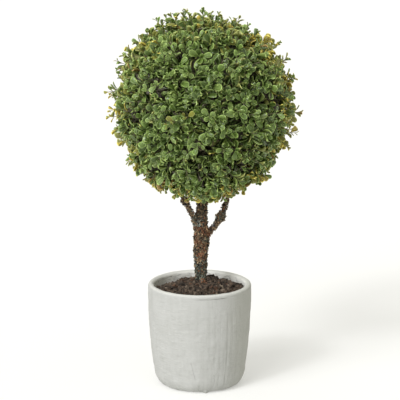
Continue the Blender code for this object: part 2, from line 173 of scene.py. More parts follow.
def add_piece(name, points, faces, materials, replaced=(), which=None, uv=None, smooth=True):
    """A finished piece: a closed mesh at the origin, riding on the one body, for the nodes it replaces.

    which gives each face its material's number, and uv gives each face corner its place on the surface.
    """
    if signed_volume(points - points.mean(axis=0), faces) < 0:
        faces = [f[:, ::-1] for f in faces]
    corners, starts = flat_faces(faces)
    mesh = bpy.data.meshes.new(name)
    mesh.vertices.add(len(points))
    mesh.vertices.foreach_set("co", np.ascontiguousarray(points, dtype=np.float32).ravel())
    mesh.loops.add(len(corners))
    mesh.loops.foreach_set("vertex_index", corners.astype(np.int32))
    mesh.polygons.add(len(starts))
    mesh.polygons.foreach_set("loop_start", starts.astype(np.int32))
    mesh.update(calc_edges=True)
    mesh.polygons.foreach_set("use_smooth", np.full(len(starts), smooth))
    for material in materials:
        mesh.materials.append(material)
    if which is not None:
        mesh.polygons.foreach_set("material_index", which.astype(np.int32))
    if uv is not None:
        layer = mesh.uv_layers.new(name="surface")
        layer.uv.foreach_set("vector", uv[corners].astype(np.float32).ravel())
    obj = bpy.data.objects.new(name, mesh)
    bpy.context.scene.collection.objects.link(obj)
    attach(obj, "root")
    if replaced:
        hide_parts(*replaced)
    triangles = sum(len(f) * (f.shape[1] - 2) for f in faces)
    print(f"{name}: {triangles} triangles")
    return obj


def grid_faces(rows, columns, first=0):
    """The quads of a grid of points that closes on itself along its columns."""
    i = np.arange(rows - 1)[:, None] * columns
    j = np.arange(columns)[None, :]
    after = (j + 1) % columns
    quads = np.stack([i + j, i + after, i + columns + after, i + columns + j], axis=-1)
    return quads.reshape(-1, 4) + first


def fan_faces(ring_start, columns, pole, turned=False):
    """Triangles from a pole to a ring of points."""
    j = np.arange(columns)
    fan = np.stack([np.full(columns, pole), ring_start + (j + 1) % columns, ring_start + j], axis=-1)
    return fan[:, ::-1] if turned else fan


def closed_tube(grid):
    """Points and faces of a tube from a grid of rings, closed by a pole in the middle of each end ring."""
    rows, columns, _ = grid.shape
    points = np.concatenate([grid.reshape(-1, 3), [grid[0].mean(axis=0)], [grid[-1].mean(axis=0)]])
    count = rows * columns
    caps = np.concatenate([
        fan_faces(0, columns, count),
        fan_faces(count - columns, columns, count + 1, turned=True),
    ])
    return points, [grid_faces(rows, columns), caps]


def joined(parts):
    """Several (points, faces) meshes as one, with the same kinds of faces in the same order."""
    points, kinds, first = [], [[] for _ in parts[0][1]], 0
    for part_points, part_faces in parts:
        points.append(part_points)
        for kind, f in zip(kinds, part_faces):
            kind.append(f + first)
        first += len(part_points)
    return np.concatenate(points), [np.concatenate(kind) for kind in kinds]


def copies(shape, faces, frames, places):
    """One small shape set down many times: each point is place + frame x point, for all at once."""
    points = places[:, None, :] + shape @ frames.transpose(0, 2, 1)
    first = np.arange(len(places))[:, None, None] * shape.shape[-2]
    return points.reshape(-1, 3), [(f[None] + first).reshape(-1, f.shape[1]) for f in faces]


# %% [markdown]
# ## Shader maths as Python
#
# A material's pattern is a sum of masks and noises. Written out node by node that is hard to read, so a
# small class wraps a socket: `1 - mask * 2` adds the Math nodes by itself. Colours go through Mix nodes,
# because a Math node would turn them grey.

# %% Shader helpers
class Wire:
    """An output socket that takes part in arithmetic."""

    def __init__(self, paint, socket):
        self.paint = paint
        self.socket = socket

    def math(self, operation, *others):
        return self.paint.node("Math", {"operation": operation}, dict(enumerate(others)))

    def __add__(self, other):
        return self.math("ADD", self, other)

    def __sub__(self, other):
        return self.math("SUBTRACT", self, other)

    def __rsub__(self, other):
        return self.math("SUBTRACT", other, self)

    def __mul__(self, other):
        return self.math("MULTIPLY", self, other)

    def __truediv__(self, other):
        return self.math("DIVIDE", self, other)

    def __abs__(self):
        return self.math("ABSOLUTE", self)

    __radd__ = __add__
    __rmul__ = __mul__

    def step(self, low, high):
        """0 below low and 1 above high, with a soft change between. low may be the larger one."""
        sockets = {"Value": self, "From Min": low, "From Max": high}
        return self.paint.node("MapRange", {"interpolation_type": "SMOOTHSTEP"}, sockets)


class Paint:
    """One material: a Principled shader whose sockets take wires, colours or numbers."""

    def __init__(self, name, roughness, **fixed):
        self.material = bpy.data.materials.new(name)
        self.material.use_nodes = True
        self.tree = self.material.node_tree
        self.shader = self.tree.nodes["Principled BSDF"]
        self.place = self.node("TexCoord", out="Object")
        self.put(self.shader, "Roughness", roughness)
        for socket, value in fixed.items():
            self.put(self.shader, socket.replace("_", " "), value)

    def put(self, node, socket, value):
        target = node.inputs[socket]
        if isinstance(value, Wire):
            self.tree.links.new(value.socket, target)
        elif isinstance(value, tuple) and len(value) == 3 and target.type == "RGBA":
            target.default_value = (*value, 1)
        else:
            target.default_value = value

    def node(self, kind, settings=None, sockets=None, out=0):
        """Any node: its settings are set first, then its sockets get values or wires."""
        node = self.tree.nodes.new("ShaderNode" + kind)
        for key, value in (settings or {}).items():
            if key == "stops":
                ramp = node.color_ramp.elements
                while len(ramp) < len(value):
                    ramp.new(0.5)
                for element, (position, colour) in zip(ramp, value):
                    element.position = position
                    element.color = (*colour, 1)
            else:
                setattr(node, key, value)
        for key, value in (sockets or {}).items():
            self.put(node, key, value)
        return Wire(self, node.outputs[out])

    def noise(self, scale, detail=2.0, place=None, rough=0.5, distort=0.0):
        """Noise from 0 to 1, with scale in blobs per metre."""
        sockets = {
            "Vector": place or self.place,
            "Scale": scale,
            "Detail": detail,
            "Roughness": rough,
            "Distortion": distort,
        }
        return self.node("TexNoise", None, sockets)

    def stretched(self, x, y, z):
        """The place, with each axis multiplied, so that a pattern comes out long or flat."""
        return self.node("Mapping", None, {"Vector": self.place, "Scale": (x, y, z)})

    def axis(self, letter):
        return self.node("SeparateXYZ", None, {"Vector": self.place}, out=letter)

    def mix(self, share, first, second):
        """first where share is 0 and second where it is 1."""
        sockets = {0: share, 6: first, 7: second}
        return self.node("Mix", {"data_type": "RGBA"}, sockets, out=2)

    def near(self, point, radius):
        """1 at a point of the object, falling to 0 at that radius."""
        sockets = {0: self.place, 1: tuple(point)}
        away = self.node("VectorMath", {"operation": "DISTANCE"}, sockets, out="Value")
        return away.step(radius, 0)

    def colour(self, wire):
        self.put(self.shader, "Base Color", wire)

    def bump(self, height, distance, strength=1.0):
        sockets = {"Height": height, "Distance": distance, "Strength": strength}
        self.put(self.shader, "Normal", self.node("Bump", None, sockets))


# %% [markdown]
# ## Whitewashed cement
#
# The pot is cement rubbed with a thin white wash. Up close it is not one white: the wash is cloudy,
# grey-green where it is thin, scratched in fine upright lines, and cracked near the foot. Noise that is
# stretched upwards makes the wiping marks. The two cracks are thin lines that wander with height. Some
# of the colour is painted light and shade: the inside wall and the top of the lip are painted lighter,
# the right side is painted olive grey as painted shade, and a dark line under the lip is the painted
# shade of the crease.

# %% Cement
WASH = (0.458, 0.462, 0.440)
WASH_THIN = (0.420, 0.424, 0.400)
WASH_GREY = (0.30, 0.305, 0.275)
WASH_BRIGHT = (0.54, 0.545, 0.52)
# Olive grey painted on the pot's right side as painted shade.
WASH_SHADED_SIDE = (0.405, 0.405, 0.350)
# Light wash painted on the inside wall and the top of the lip as painted light.
WASH_PAINTED_LIGHT = (0.80, 0.80, 0.745)
# Dark of the hairline cracks, and of the painted shade in the crease under the lip.
CRACK_AND_CREASE_SHADE = (0.15, 0.15, 0.13)
CREASE_HEIGHT = POT_HEIGHT - 4.5 * MM


def crack_mask(paint, x_at_foot, lean, low, high, width):
    """1 on a hairline x = x_at_foot + lean * z + a little noise, on the front, between two heights."""
    x, y, z = (paint.axis(letter) for letter in "XYZ")
    wander = (paint.noise(260, 2) - 0.5) * (2.6 * MM)
    away = abs(x - z * lean - x_at_foot - wander)
    ends = z.step(low, low + 4 * MM) * z.step(high, high - 6 * MM)
    return away.step(width, 0) * ends * y.step(0, -10 * MM)


def cement():
    paint = Paint("whitewashed_cement", 0.82)
    x, y, high = (paint.axis(letter) for letter in "XYZ")
    clouds = paint.noise(46, 4)
    wiping = paint.noise(210, 3, paint.stretched(1, 1, 0.14))
    strokes = paint.noise(520, 3, paint.stretched(0.16, 0.16, 1))
    grit = paint.noise(1300, 3)
    thin = (clouds * 0.4 + wiping * 0.3 + strokes * 0.3).step(0.40, 0.62)
    colour = paint.mix(thin, WASH, WASH_THIN)
    brushed = x.step(10 * MM, -30 * MM) * 0.7 + 0.3
    colour = paint.mix(strokes.step(0.58, 0.66) * brushed * 0.4, colour, WASH_BRIGHT)
    colour = paint.mix(strokes.step(0.40, 0.33) * brushed * 0.25, colour, WASH_GREY)
    scratches = paint.noise(800, 2, paint.stretched(1, 1, 0.05)).step(0.62, 0.70)
    colour = paint.mix(scratches * x.step(-10 * MM, 20 * MM) * 0.3, colour, WASH_GREY)
    foot = high.step(14 * MM, 1 * MM) * clouds.step(0.35, 0.6)
    colour = paint.mix(foot * 0.4, colour, WASH_GREY)
    # Painted shade: the right side, away from the key light, is mixed towards olive grey.
    colour = paint.mix(x.step(24 * MM, 56 * MM) * 0.5, colour, WASH_SHADED_SIDE)
    # Painted light: the inside wall is made much lighter, against the shade it stands in.
    away = x * x + y * y
    inside = away.step((56 * MM) ** 2, (53.6 * MM) ** 2) * high.step(60 * MM, 90 * MM)
    colour = paint.mix(inside, colour, WASH_PAINTED_LIGHT)
    stains = paint.noise(420, 4, paint.stretched(0.5, 0.5, 1), rough=0.65).step(0.50, 0.60)
    colour = paint.mix(inside * stains * high.step(POT_HEIGHT, POT_HEIGHT - 4 * MM) * 0.42, colour, WASH_GREY)
    # Painted highlight: the top of the lip is made lighter.
    lip = high.step(POT_HEIGHT - 2.4 * MM, POT_HEIGHT - 0.3 * MM)
    colour = paint.mix(lip * 0.5, colour, WASH_PAINTED_LIGHT)
    pits = grit.step(0.69, 0.77)
    colour = paint.mix(pits * 0.3, colour, WASH_GREY)
    cracks = crack_mask(paint, -1.2 * MM, -0.22, 16 * MM, 42 * MM, 0.35 * MM)
    cracks = cracks + crack_mask(paint, -1.0 * MM, 0.02, 1 * MM, 18 * MM, 0.35 * MM)
    cracks = cracks + crack_mask(paint, 17 * MM, 0.02, 8 * MM, 26 * MM, 0.3 * MM)
    colour = paint.mix(cracks * 0.15, colour, CRACK_AND_CREASE_SHADE)
    # Painted shade: a dark line along the crease under the lip at the front right.
    crease_shade = abs(high - CREASE_HEIGHT - (paint.noise(70, 2) - 0.5) * (2 * MM)).step(0.7 * MM, 0.2 * MM)
    crease_shade = crease_shade * x.step(-14 * MM, 6 * MM) * x.step(34 * MM, 25 * MM) * y.step(0, -10 * MM)
    colour = paint.mix(crease_shade * 0.5, colour, CRACK_AND_CREASE_SHADE)
    paint.colour(colour)
    paint.put(paint.shader, "Roughness", 0.74 + thin * 0.14)
    relief = wiping * 0.45 + strokes * brushed * 0.9 + grit * 0.2 - pits * 0.35 - cracks * 0.4
    paint.bump(relief, 0.9 * MM, 0.9)
    return paint.material


CEMENT = cement()

# %% [markdown]
# ## The pot
#
# A pot is turned: one profile, carried round the axis. The profile here runs from the middle of the
# underside up the outer wall, over the round lip and down the inside. A perfect turned shape looks like
# plastic, so the wall then moves in and out by a fraction of a millimetre, as it does where hands have
# rubbed it, and a shallow crease runs under the lip at the front right.

# %% Pot
WALL = 7.6 * MM
FLOOR = 10 * MM
FOOT_RADIUS = 41 * MM
SHOULDER_RADIUS = 54 * MM
FOOT_ROUND_HEIGHT = 20 * MM
WALL_BELLY = 2.2
POT_COLUMNS = 400


def wall_radius(height):
    """The outer radius: a quarter ellipse at the foot, then rim - (rim - shoulder) (1 - rise)^belly."""
    drop = np.clip(1 - height / FOOT_ROUND_HEIGHT, 0, 1)
    foot = FOOT_RADIUS + (SHOULDER_RADIUS - FOOT_RADIUS) * np.sqrt(1 - drop**2)
    rise = np.clip((height - FOOT_ROUND_HEIGHT) / (POT_HEIGHT - FOOT_ROUND_HEIGHT), 0, 1)
    wall = RIM_RADIUS - (RIM_RADIUS - SHOULDER_RADIUS) * (1 - rise) ** WALL_BELLY
    return np.where(height < FOOT_ROUND_HEIGHT, foot, wall)


def pot_profile():
    """The profile as rows of (radius, height, share of relief), from the underside's middle to the inside's."""
    lip = WALL / 2
    lip_height = POT_HEIGHT - lip
    under = [(r, 0, 0) for r in np.linspace(2 * MM, FOOT_RADIUS - 1 * MM, 6)]
    angles = np.linspace(0, math.pi / 2, 16)[1:]
    foot_heights = FOOT_ROUND_HEIGHT * (1 - np.cos(angles))
    heights = np.concatenate([
        foot_heights,
        np.linspace(FOOT_ROUND_HEIGHT, POT_HEIGHT - 9 * MM, 84)[1:],
        np.linspace(POT_HEIGHT - 9 * MM, lip_height, 18)[1:],
    ])
    outer = [(r, h, 1) for r, h in zip(wall_radius(heights), heights)]
    arc = np.linspace(0, math.pi, 22)[1:-1]
    middle = wall_radius(np.array(lip_height)) - lip
    over = [(middle + lip * math.cos(a), lip_height + lip * math.sin(a), 0.6) for a in arc]
    inner_heights = np.concatenate([np.linspace(lip_height, POT_HEIGHT - 18 * MM, 16), [60 * MM, 16 * MM]])
    inner = [(r - WALL, h, 0.4) for r, h in zip(wall_radius(inner_heights), inner_heights)]
    floor = [(42 * MM, FLOOR, 0), (20 * MM, FLOOR, 0), (2 * MM, FLOOR, 0)]
    return np.array(under + outer + over + inner + floor)


def crease(points):
    """A shallow groove under the lip at the front right, with the lip standing a little proud above it."""
    turn = np.arctan2(points[:, 0], -points[:, 1])
    height = points[:, 2] - CREASE_HEIGHT + 0.3 * MM * np.sin(turn * 5)
    along = soft_step(-0.28, 0.05, turn) * soft_step(1.1, 0.55, turn)
    groove = hump(height, 0.55 * MM) * (0.75 + 0.5 * noise(points, 7 * MM, 5))
    proud = soft_step(0, 1.5 * MM, height)
    return along * (proud * 0.25 * MM - groove * 0.8 * MM)


RIBS = [(0.36, 0.16), (0.43, -0.26), (0.50, 0.18), (0.545, 0.36), (0.59, -0.42), (0.64, 0.22), (0.71, -0.26), (0.79, 0.22)]


def ribs(points):
    """Upright ridges on the front right, where the mould was scraped: bells across the turn."""
    turn = np.arctan2(points[:, 0], -points[:, 1]) + 0.02 * noise(points, 30 * MM, 6)
    fade = soft_step(2 * MM, 14 * MM, points[:, 2]) * soft_step(112 * MM, 92 * MM, points[:, 2])
    total = 0
    for place, height in RIBS:
        total = total + height * MM * hump(turn - place, 0.012)
    strength = 0.7 + 0.9 * noise(points, 14 * MM, 7)
    return total * fade * strength


def drip(points):
    """A dried run of cement at the front of the foot, pushed outwards as a bell."""
    turn = np.arctan2(points[:, 0], -points[:, 1])
    return 4.2 * MM * hump(turn - 0.155, 0.045) * hump(points[:, 2] - 0.6 * MM, 2.2 * MM)


def cement_relief(points):
    """Slow waves, hand-sized dabs, wiping marks, and the crease, the ribs and the drip."""
    waves = 0.5 * MM * noise(points, 36 * MM, 1)
    dabs = 0.24 * MM * noise(points, 9 * MM, 2) + 0.20 * MM * noise(points, 4 * MM, 8)
    turn = np.arctan2(points[:, 0], -points[:, 1])
    upright = np.stack([turn * 60 * MM, points[:, 2] / 9, 0 * turn], axis=1)
    level = np.stack([turn * 12 * MM, points[:, 2], 0 * turn], axis=1)
    wiping = 0.12 * MM * noise(upright, 3.4 * MM, 3) + 0.14 * MM * noise(level, 2.6 * MM, 4)
    return waves + dabs + wiping + crease(points) + ribs(points) + drip(points)


def build_pot():
    """Turned points (r cos a, r sin a, h), moved along the profile's own normal by the relief."""
    profile = pot_profile()
    angle = np.linspace(0, 2 * math.pi, POT_COLUMNS, endpoint=False)
    slope = np.gradient(profile[:, :2], axis=0)
    normal = unit(np.stack([slope[:, 1], -slope[:, 0]], axis=1))
    ring = np.stack([np.cos(angle), np.sin(angle)], axis=1)
    points = np.concatenate([
        profile[:, None, 0:1] * ring[None],
        np.broadcast_to(profile[:, None, 1:2], (len(profile), POT_COLUMNS, 1)),
    ], axis=2)
    outwards = np.concatenate([
        normal[:, None, 0:1] * ring[None],
        np.broadcast_to(normal[:, None, 1:2], (len(profile), POT_COLUMNS, 1)),
    ], axis=2)
    share = np.repeat(profile[:, 2], POT_COLUMNS)
    lift = cement_relief(points.reshape(-1, 3)) * share
    moved = points + outwards * lift.reshape(len(profile), POT_COLUMNS, 1)
    moved[..., 2] = np.clip(moved[..., 2], 0, POT_HEIGHT)
    reach = np.hypot(moved[..., 0], moved[..., 1])
    moved[..., :2] *= np.minimum(1, RIM_RADIUS / np.maximum(reach, 1e-6))[..., None]
    points, faces = closed_tube(moved)
    return add_piece("pot_shell", points, faces, [CEMENT], ["pot"])


build_pot()

# %% [markdown]
# ## Made soil
#
# The filling is a mound of dark brown crumbs. Its bed is a height field over rings, like the source's
# mound, and thousands of loose crumbs lie on it. A crumb is a twelve-cornered ball with its corners
# pushed in and out; a few such shapes, turned and sized at random, never look alike.

# %% Soil finish
def soil_paint(name, dark, light):
    """Two tones in clods and in grains, with pale specks."""
    paint = Paint(name, 0.95)
    clods = paint.noise(190, 3)
    blobs = paint.noise(520, 3)
    specks = paint.noise(2200, 2)
    tone = (clods * 0.55 + blobs * 0.45).step(0.41, 0.61)
    colour = paint.mix(tone, dark, light)
    colour = paint.mix(specks.step(0.60, 0.68) * 0.45, colour, (0.24, 0.19, 0.14))
    paint.colour(colour)
    paint.bump(blobs * 0.5 + specks * 0.5, 0.8 * MM, 0.9)
    return paint.material


SOIL = soil_paint("potting_soil", (0.013, 0.009, 0.006), (0.106, 0.074, 0.050))
SOIL_LIGHT = soil_paint("soil_fibre", (0.08, 0.058, 0.039), (0.23, 0.18, 0.13))
SOIL_RED = soil_paint("soil_bark_bit", (0.050, 0.024, 0.014), (0.13, 0.068, 0.038))

# %% Soil
SOIL_EDGE_DROP = 7.5 * MM
FLAT_RADIUS = 13 * MM
MOUND_BELLY = 1.4
SOIL_GAP = 0.3 * MM
SOIL_COLUMNS = 300
CRUMB_COUNT = 4200
HEAPS = [((-11, 8), 6, 0.4), ((16, 9), 6, 2.4), ((-13, -3), 5, 1.4), ((7, -15), 7, -2.6), ((-36, 12), 17, -5.5)]
BACK_DROP = 4.4 * MM
SOIL_EDGE = float(wall_radius(np.array(POT_HEIGHT - SOIL_EDGE_DROP))) - WALL - SOIL_GAP


def mound(xy):
    """The source's mound: level to FLAT_RADIUS, then falling by share^belly to the wall."""
    away = np.hypot(xy[..., 0], xy[..., 1])
    share = np.clip((away - FLAT_RADIUS) / (SOIL_EDGE - FLAT_RADIUS), 0, 1)
    drop = POT_HEIGHT - SOIL_EDGE_DROP - GROUND
    return GROUND - 1.2 * MM + drop * share**MOUND_BELLY


def bed_height(xy):
    """The mound, lower at the back, with heaps and clods that fade out under the trunk's foot."""
    flat = np.concatenate([xy, np.zeros_like(xy[..., :1])], axis=-1)
    away = np.hypot(xy[..., 0], xy[..., 1])
    clods = 1.9 * MM * noise(flat, 11 * MM, 11) + 1.8 * MM * noise(flat, 5.5 * MM, 12)
    clods = clods + 0.7 * MM * noise(flat, 2.6 * MM, 13)
    heaps = 0
    for (x, y), size, height in HEAPS:
        heaps = heaps + height * MM * hump(np.hypot(xy[..., 0] - x * MM, xy[..., 1] - y * MM), size * MM)
    back = BACK_DROP * soft_step(0, 24 * MM, xy[..., 1])
    return mound(xy) - back + (clods + heaps) * soft_step(6 * MM, 12 * MM, away)


def build_soil_bed():
    """Rings of the height field, then a wall down to a hidden flat bottom."""
    radii = np.linspace(1.0 * MM, SOIL_EDGE, 52)
    angle = np.linspace(0, 2 * math.pi, SOIL_COLUMNS, endpoint=False)
    ring = np.stack([np.cos(angle), np.sin(angle)], axis=1)
    xy = radii[:, None, None] * ring[None]
    top = np.concatenate([xy, bed_height(xy)[..., None]], axis=2)
    depths = [60 * MM, 16 * MM]
    sides = [np.concatenate([ring * (wall_radius(np.array(d)) - WALL - SOIL_GAP),
                             np.full((SOIL_COLUMNS, 1), d)], axis=1) for d in depths]
    points, faces = closed_tube(np.concatenate([top, np.array(sides)]))
    return add_piece("soil_bed", points, faces, [SOIL], ["soil"])


def ball_shape():
    """A twelve-cornered ball (icosahedron): the corners of three crossed golden rectangles."""
    g = (1 + math.sqrt(5)) / 2
    corners = [(-1, g, 0), (1, g, 0), (-1, -g, 0), (1, -g, 0), (0, -1, g), (0, 1, g),
               (0, -1, -g), (0, 1, -g), (g, 0, -1), (g, 0, 1), (-g, 0, -1), (-g, 0, 1)]
    faces = [(0, 11, 5), (0, 5, 1), (0, 1, 7), (0, 7, 10), (0, 10, 11), (1, 5, 9), (5, 11, 4),
             (11, 10, 2), (10, 7, 6), (7, 1, 8), (3, 9, 4), (3, 4, 2), (3, 2, 6), (3, 6, 8),
             (3, 8, 9), (4, 9, 5), (2, 4, 11), (6, 2, 10), (8, 6, 7), (9, 8, 1)]
    return unit(np.array(corners, float)), np.array(faces)


def random_frames(rng, count, sizes, squash=0.25):
    """Random turns times a size, each axis a little longer or shorter, as 3 x 3 arrays."""
    raw = rng.normal(size=(count, 3, 3))
    turn, _ = np.linalg.qr(raw)
    stretch = sizes[:, None] * rng.uniform(1 - squash, 1 + squash, (count, 3))
    return turn * stretch[:, None, :]


def scattered(rng, count, inner, outer):
    """Points spread evenly over a ring: the radius is the root of a random share of its area."""
    radius = np.sqrt(rng.uniform(inner**2, outer**2, count))
    angle = rng.uniform(0, 2 * math.pi, count)
    return np.stack([radius * np.cos(angle), radius * np.sin(angle)], axis=1)


def build_crumbs():
    """Crumbs of all sizes on the bed, many small and a few large, each sunk in by part of its size."""
    rng = np.random.default_rng(21)
    shape, faces = ball_shape()
    sizes = 0.45 * MM + 2.7 * MM * rng.uniform(0, 1, CRUMB_COUNT) ** 2.8
    xy = scattered(rng, CRUMB_COUNT, 7.5 * MM, SOIL_EDGE - 1.2 * MM)
    out = np.hypot(xy[:, 0], xy[:, 1])
    xy *= (np.minimum(out, SOIL_EDGE - sizes * 1.25) / out)[:, None]
    height = bed_height(xy) + sizes * rng.uniform(-0.1, 0.45, CRUMB_COUNT)
    places = np.concatenate([xy, height[:, None]], axis=1)
    frames = random_frames(rng, CRUMB_COUNT, sizes)
    lumpy = shape[None] * rng.uniform(0.62, 1.25, (CRUMB_COUNT, len(shape), 1))
    points, faces = copies(lumpy, [faces], frames, places)
    kind = rng.choice(3, CRUMB_COUNT, p=[0.84, 0.10, 0.06])
    return add_piece("soil_crumbs", points, faces, [SOIL, SOIL_LIGHT, SOIL_RED], ["soil"],
                     which=np.repeat(kind, 20), smooth=False)


build_soil_bed()
build_crumbs()

# %% [markdown]
# ## Bark
#
# The stem is wrapped in flakes of cork and fibre: nearly black in the cracks, brown on the plates,
# rust-red in patches at the fork and the foot, and grey-green like lichen on the left joint, on the
# right knot and low on the trunk. Those patches have places, so each is a soft ball round a named point.

# %% Bark finish
RUST_SPOTS = [((9, -5, 181), 5.5), ((2, -7, 187), 6), ((3, -7, 155), 5.5), ((-4, -5, 172), 5), ((5, -11, 125), 8)]
LICHEN_SPOTS = [((-5, -7, 199), 8), ((25, -2, 203), 7), ((0, -6, 136), 13), ((0, 6, 140), 13), ((9, -4, 175), 4)]
PALE_SPOTS = [((-1, -7, 196), 4)]


def near_spots(points, places):
    """How near each point is to the named places, in millimetres: the largest of their bells."""
    total = np.zeros(len(points))
    for centre, radius in places:
        away = np.linalg.norm(points - np.array(centre) * MM, axis=1)
        total = np.maximum(total, hump(away, radius * MM))
    return total


def bark_paint(name, dark, light, fleck):
    """One kind of bark: two tones in granules, pale flecks, and deep gaps."""
    paint = Paint(name, 0.92)
    grains = paint.noise(560, 3, rough=0.65)
    fine = paint.noise(1500, 3, rough=0.6)
    colour = paint.mix(grains.step(0.40, 0.58), dark, light)
    colour = paint.mix(fine.step(0.53, 0.64) * 0.75, colour, fleck)
    paint.colour(colour)
    paint.bump(grains * 0.6 + fine * 0.4, 0.8 * MM, 0.8)
    return paint.material


BARKS = [
    bark_paint("bark_brown", (0.030, 0.020, 0.012), (0.165, 0.112, 0.060), (0.42, 0.31, 0.18)),
    bark_paint("bark_black", (0.007, 0.006, 0.005), (0.030, 0.026, 0.021), (0.11, 0.095, 0.072)),
    bark_paint("bark_tan", (0.20, 0.130, 0.070), (0.44, 0.30, 0.165), (0.66, 0.52, 0.34)),
    bark_paint("bark_rust", (0.070, 0.029, 0.014), (0.240, 0.100, 0.047), (0.42, 0.22, 0.115)),
    bark_paint("bark_lichen", (0.034, 0.038, 0.030), (0.120, 0.130, 0.098), (0.30, 0.32, 0.255)),
    bark_paint("bark_pale", (0.17, 0.18, 0.15), (0.42, 0.44, 0.375), (0.62, 0.64, 0.56)),
]
BROWN, BLACK, TAN, RUST, LICHEN, PALE = range(6)


def bark_kind(points, rng):
    """A kind for each point: rust, lichen or pale near its places, else mostly brown and black."""
    roll = rng.uniform(0, 1, len(points))
    kind = np.select([roll < 0.38, roll < 0.71, roll < 0.87], [BROWN, BLACK, TAN], RUST)
    roll = rng.uniform(0, 1, len(points))
    kind = np.where(roll < near_spots(points, RUST_SPOTS) * 0.75, RUST, kind)
    kind = np.where(roll < near_spots(points, LICHEN_SPOTS) * 0.80, LICHEN, kind)
    return np.where(roll < near_spots(points, PALE_SPOTS) * 0.55, PALE, kind)


# %% [markdown]
# ## Trunk and boughs
#
# Each limb is a ring carried along a path. The path and the radius follow the source: the trunk leans a
# little, swells at the fork and narrows above it, and each bough is a cubic curve with a knot. On that
# tube the bark stands up in plates: every plate of a cell pattern has its own height, with a crack at
# its edge. Loose flakes stuck on at all angles give the ragged outline that the photo shows.

# %% Limb paths
TRUNK_FOOT = trunk_low.z - 6 * MM
TRUNK_TOP = trunk_high.z
TRUNK_START_X = 1.4 * MM
TRUNK_LEAN = 1.6 * MM
TRUNK_SWAY = 1.4 * MM
TRUNK_HEIGHTS = np.array([118, 128, 137, 156, 175, 188, 202, 216, 300]) * MM
TRUNK_RADII = np.array([7.0, 5.3, 5.8, 6.6, 7.2, 6.7, 5.5, 5.0, 4.8]) * MM
BOUGHS = {
    "left_bough": {
        "path": [(-2.5, -2.5, 188), (-9, -5, 213), (-27, -7, 235)],
        "tip_direction": (-41.5, -8, -66),
        "places": (0, 0.2, 0.47, 0.56, 1),
        "radii": (3.7, 2.9, 2.5, 1.5, 1.1),
        "knot": (0.46, 1.4 * MM, 4 * MM),
        "stub": (-1, -0.2, 0.1),
    },
    "right_bough": {
        "path": [(5.4, 1, 179), (30, 3, 193), (29, 4, 223)],
        "tip_direction": (41, 5, -64),
        "places": (0, 0.1, 0.24, 0.53, 0.62, 1),
        "radii": (4.6, 3.4, 2.9, 2.9, 1.6, 1.2),
        "knot": (0.37, 2.0 * MM, 5.5 * MM),
        "stub": (1, 0.3, 0.1),
    },
}
TIP_FROM_CENTRE = 82 * MM


def trunk_axis(t):
    """Straight up, with a lean that grows as t^2 and a sway t sin(2 pi t)."""
    sway = TRUNK_SWAY * t * np.sin(2 * math.pi * t)
    x = TRUNK_START_X + TRUNK_LEAN * t * t - sway
    return np.stack([x, -sway / 2, TRUNK_FOOT + t * (TRUNK_TOP - TRUNK_FOOT)], axis=-1)


def trunk_radius(t):
    """Read off at a few heights and joined by straight parts: it swells at the fork."""
    return np.interp(trunk_axis(t)[..., 2], TRUNK_HEIGHTS, TRUNK_RADII)


def bough_axis(bough):
    """A cubic curve through the fork, two elbows and the tip inside the ball."""
    p0, p1, p2 = (np.array(p) * MM for p in bough["path"])
    p3 = BALL_CENTRE + unit(np.array(bough["tip_direction"], float)) * TIP_FROM_CENTRE

    def axis(t):
        t = np.asarray(t)[..., None]
        s = 1 - t
        return p0 * s**3 + p1 * 3 * s * s * t + p2 * 3 * s * t * t + p3 * t**3

    return axis


def bough_radius(bough):
    axis = bough_axis(bough)
    length = np.linalg.norm(np.diff(axis(np.linspace(0, 1, 40)), axis=0), axis=1).sum()
    at, extra, half = bough["knot"]
    radii = np.array(bough["radii"]) * MM
    return lambda t: np.interp(t, bough["places"], radii) + extra * hump((t - at) * length, half)


LIMBS = [(trunk_axis, trunk_radius)]
LIMBS += [(bough_axis(b), bough_radius(b)) for b in BOUGHS.values()]


# %% Bark surfaces
CHIP_STANDS_OUT = 0.8 * MM


def across(path):
    """Two directions square to a path at each of its points: along x the y axis, and along x that."""
    along = unit(np.gradient(path, axis=0))
    side = unit(np.cross(along, [0.0, 1.0, 0.0]))
    return along, side, np.cross(along, side)


def bark_relief(points, size):
    """Granules of random height with gaps between them, lumps and grain; size scales all of it."""
    nearest, second, number = cells(points * [1, 1, 0.8], 2.8 * MM, 31)
    granules = (number - 0.4) * 2.2 * MM - 1.5 * MM * hump(second - nearest, 0.45 * MM)
    lumps = 0.7 * MM * noise(points, 6 * MM, 32)
    grain = 0.34 * MM * noise(points, 0.9 * MM, 33) + 0.3 * MM * noise(points, 1.7 * MM, 34)
    return (granules + lumps + grain) * size, number


def bark_tube(axis, radius, rows, columns, size=1.0):
    """Rings of axis + (radius + relief) (side cos a + other sin a), closed at both ends.

    Also the kind of bark of each face: a granule has one kind, picked at its own place.
    """
    t = np.linspace(0, 1, rows)
    path = axis(t)
    _, side, other = across(path)
    a = np.linspace(0, 2 * math.pi, columns, endpoint=False)[:, None]
    spoke = side[:, None] * np.cos(a) + other[:, None] * np.sin(a)
    bare = path[:, None] + spoke * (radius(t) - CHIP_STANDS_OUT * size)[:, None, None]
    lift, number = bark_relief(bare.reshape(-1, 3), size)
    points, faces = closed_tube(bare + spoke * lift.reshape(rows, columns, 1))
    first = faces[0][:, 0]
    kind = bark_kind(bare.reshape(-1, 3)[first], RepeatedRolls(number[first]))
    caps = np.full(len(faces[1]), BROWN)
    return points, faces, [kind, caps]


class RepeatedRolls:
    """Stands in for a random generator: points of the same granule get the same roll."""

    def __init__(self, number):
        self.number = number
        self.turn = 0

    def uniform(self, low, high, count):
        self.turn += 1
        return low + (high - low) * (self.number * (17.31 * self.turn) % 1)


